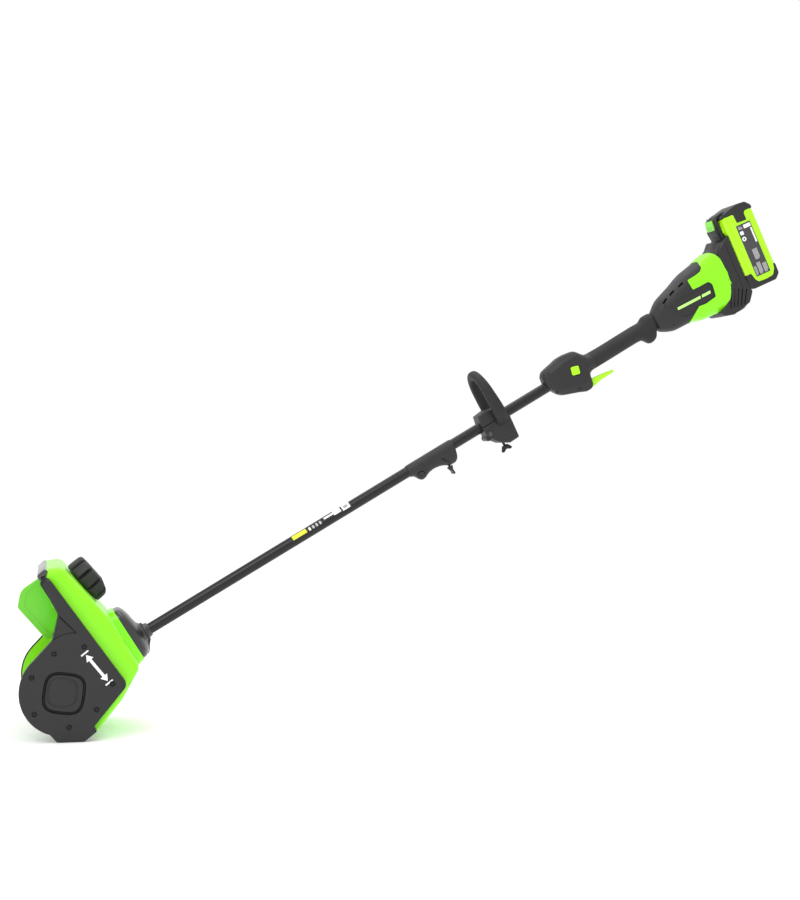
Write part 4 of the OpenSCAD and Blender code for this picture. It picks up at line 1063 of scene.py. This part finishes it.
# the louvres, and a chamfer line along the side
for s0, n0, s1, n1 in ((1726, -21, 1703, -60), (1733.5, -25, 1711.5, -62), (1742, -30, 1719, -65),
                       (1750.5, -35, 1728, -67), (1759, -40, 1737, -68)):
    d = Vector((s1 - s0, n1 - n0)).normalized()
    w = Vector((-d.y, d.x)) * 1.5
    line = [(s0 + w.x, n0 + w.y, 1), (s1 + w.x, n1 + w.y, 1), (s1 - w.x, n1 - w.y, 1), (s0 - w.x, n0 - w.y, 1)]
    for band in side_bands(3.4):
        cut(dock, line, *band, BOOM)
for band in side_bands(0.8):
    cut(dock, rect(-40, -37.8, 24, -86, 1), *band, BATT)
settle(join("dock_shell", [dock]), "upper_boom", ["battery_dock"])

# ---------------------------------------------------------------- battery
case_outline = [(-22.2, -88, 4), (-22.2, 76, 6), (-19, 81, 5), (36, 84, 4), (52, 82, 7),
                (56.6, 72, 6), (56.6, -72, 8), (48, -90, 8), (-12, -90, 5)]
case = slab("battery_body", case_outline, -HALF, HALF, 5.5, BATT, LIME, 6)
cut(case, [(-40, -110, 0), (-18, -110, 0), (-18, 22, 2), (-40, 22, 2)], -19, 19, BATT)
nose = [(-16, 38, 2), (-22.6, 43.5, 3), (-24.9, 50, 4), (-23.6, 68, 8), (-20.0, 84, 4), (-10, 84, 2), (-10, 38, 2)]
combine(case, slab("battery_nose", nose, -30, 30, 1.6, BATT, LIME, 4), "UNION")
for deep, shallow in zip(side_bands(LABEL_DEPTH), side_bands(0.7)):
    cut(case, rect(0, 43, -77, 54, 3.5), *deep, BATT)
    cut(case, rect(-13, -9.5, -74, 70, 1), *shallow, BATT)
    cut(case, [(7, 57, 2), (33, 55, 2), (36.5, 92, 2), (8, 92, 2)], *shallow, BATT)
settle(case, "battery", ["battery_case"])

bump_top = [(-22.6, 77, 2), (-21.5, 82.5, 8), (-8, 89.8, 20), (8, 94, 20), (27, 97.6, 12), (46, 95.5, 10),
            (57, 83.5, 6), (57.2, 75.5, 2.5), (38, 76, 3), (33.6, 71, 3), (34.6, 55.4, 2), (9, 57, 2),
            (6.8, 75.5, 2), (4.5, 78.3, 2), (-8, 78.3, 4), (-16, 80, 3)]
brow = [(-22, 82, 2), (-26.2, 83, 2), (-24.5, 89.5, 3), (-12, 93, 8), (0, 93.5, 2), (0, 82, 2)]
foot = [(-22, -61, 2), (-22, -91, 7), (-12, -97, 6), (45, -97.3, 8), (57.2, -86, 9), (57.6, -62, 4), (52, -60, 2),
        (49.5, -72, 6), (41.5, -84.5, 8), (23, -86.8, 8), (3.5, -85, 6), (-2.5, -77, 4), (-6.5, -61.5, 3)]
bits = [slab("battery_bumper", bump_top, -HALF - GUARD, HALF + GUARD, 2.4, BATT, n=5),
        slab("battery_brow", brow, -24, 24, 1.4, BATT, n=4),
        slab("battery_foot", foot, -HALF - GUARD, HALF + GUARD, 2.2, BATT, n=5)]
bits += [slab("battery_rail", rect(-25, -18, -60, 30, 1), y, y + 5, 1, BATT) for y in (21, -26)]
settle(join("battery_bumpers", bits), "battery")

# the label: a dark panel, white blocks and a ring, and rows of grey lines
WHITE_BLOCKS = (rect(20, 38, 47.5, 39, 1), rect(34, 38, 36, 0, 0.8), rect(6, 15, 35.5, 27, 2),
                arc((10.5, 17), 5.2, 0, 345, 23))
GREY_ROWS = ((6, 16, 40, 47.5, 3), (17, 30, -37, -12, 6), (5, 11, -71, -50, 3), (14, 24, -71, -44, 4),
             (27, 37.5, -71, -50, 4))


def row_lines(x0, x1, z0, z1, count):
    """A block of lines, the last one shorter."""
    upright = z1 - z0 > 1.6 * (x1 - x0) or count == 4
    a0, a1 = (x0, x1) if upright else (z0, z1)
    w = (a1 - a0) / count
    for k in range(count):
        u0, u1 = a0 + w * (k + 0.14), a0 + w * (k + 0.8)
        short = 3.0 if k == count - 1 else 0
        yield rect(u0, u1, z0 + short, z1, 0.3) if upright else rect(x0, x1 - short, u0, u1, 0.3)


def plate(outline, side, lift, mat, thick):
    """A thin plate on the battery's side, its face lifted from the label's floor."""
    face = HALF - LABEL_DEPTH + lift
    lo, hi = (face - thick, face) if side > 0 else (-face, -face + thick)
    return slab("plate", outline, lo, hi, 0.1, BATT, mat, 1)


grey_lines = [line for row in GREY_ROWS for line in row_lines(*row)]
panel = [plate(rect(3, 40, -74, 51, 2.5), side, 0.4, PANEL, 0.5) for side in (-1, 1)]
panel += [plate(arc((10.5, 17), 2.2, 0, 330, 11), side, 0.65, PANEL, 0.2) for side in (-1, 1)]
settle(join("battery_panel", panel), "battery")
marks = [plate(o, side, 0.55, WHITE, 0.3) for side in (-1, 1) for o in WHITE_BLOCKS]
marks += [plate(o, side, 0.55, GREY_LIGHT, 0.3) for side in (-1, 1) for o in grey_lines]
settle(join("battery_marks", marks), "battery")

# the latch that lets the battery go
latch_outline = [(-38.8, 60.9, 2), (-39.3, 70, 6), (-37.6, 78, 6), (-35.4, 84.6, 2), (-34.4, 84.6, 0.3),
                 (-34.4, 60.9, 0.3)]
latch = slab("latch_body", latch_outline, -19.8, 19.8, 0.9, BATT, LATCH_GREEN, 4)
for z in (67, 71, 75, 79):
    cut(latch, [(-50, z - 0.7), (-38.3, z - 0.7, 0.3), (-38.3, z + 0.7, 0.3), (-50, z + 0.7)], -14, 14, BATT)
settle(latch, "latch", ["battery_latch"])

# ---------------------------------------------------------------- camera, light and floor
CAMERA_AT, CAMERA_TURN, LENS = (-0.0314, -3.5949, 0.5920), -12, 66.4
FLOOR_Z, FLOOR_HALF, FLOOR_GLOW = -0.0005, 30, 0.13


def camera():
    cam = bpy.data.cameras.new("camera")
    cam.sensor_fit = "AUTO"
    cam.sensor_width = 36.0
    cam.lens = LENS
    cam.clip_start = 0.05
    cam.clip_end = 60
    o = add_to_scene("camera", cam)
    o.location = CAMERA_AT
    o.rotation_euler = (math.radians(90), 0, math.radians(CAMERA_TURN))
    bpy.context.scene.camera = o


def area(name, at, aim, size, power):
    light = bpy.data.lights.new(name, "AREA")
    light.shape = "RECTANGLE"
    light.size, light.size_y = size
    light.energy = power
    o = add_to_scene(name, light)
    o.location = at
    o.rotation_euler = (Vector(aim) - Vector(at)).to_track_quat("-Z", "Y").to_euler()


def studio():
    world = bpy.data.worlds.new("studio")
    world.use_nodes = True
    bg = world.node_tree.nodes["Background"]
    bg.inputs["Color"].default_value = (1, 1, 1, 1)
    bg.inputs["Strength"].default_value = 1.0
    bpy.context.scene.world = world
    scene = bpy.context.scene
    scene.view_settings.view_transform = "Standard"
    scene.view_settings.look = "None"
    area("key", (-1.2, -2.6, 3.2), (0.6, 0, 0.5), (2.6, 2.0), 60)
    area("top", (1.0, 0.3, 3.4), (0.8, 0, 0.6), (3.4, 1.6), 40)
    floor = bpy.data.meshes.new("floor")
    corners = [(x, y, FLOOR_Z) for x, y, _ in rect(-FLOOR_HALF, FLOOR_HALF, -FLOOR_HALF, FLOOR_HALF)]
    floor.from_pydata(corners, [], [(0, 1, 2, 3)])
    o = add_to_scene("floor", floor)
    pale = material("floor", (0.9, 0.9, 0.9), 0.9, bump=0.02, vary=0.01, spec=0.1)
    shader = pale.node_tree.nodes["Principled BSDF"]
    shader.inputs["Emission Color"].default_value = (1, 1, 1, 1)
    shader.inputs["Emission Strength"].default_value = FLOOR_GLOW
    floor.materials.append(pale)


camera()
studio()
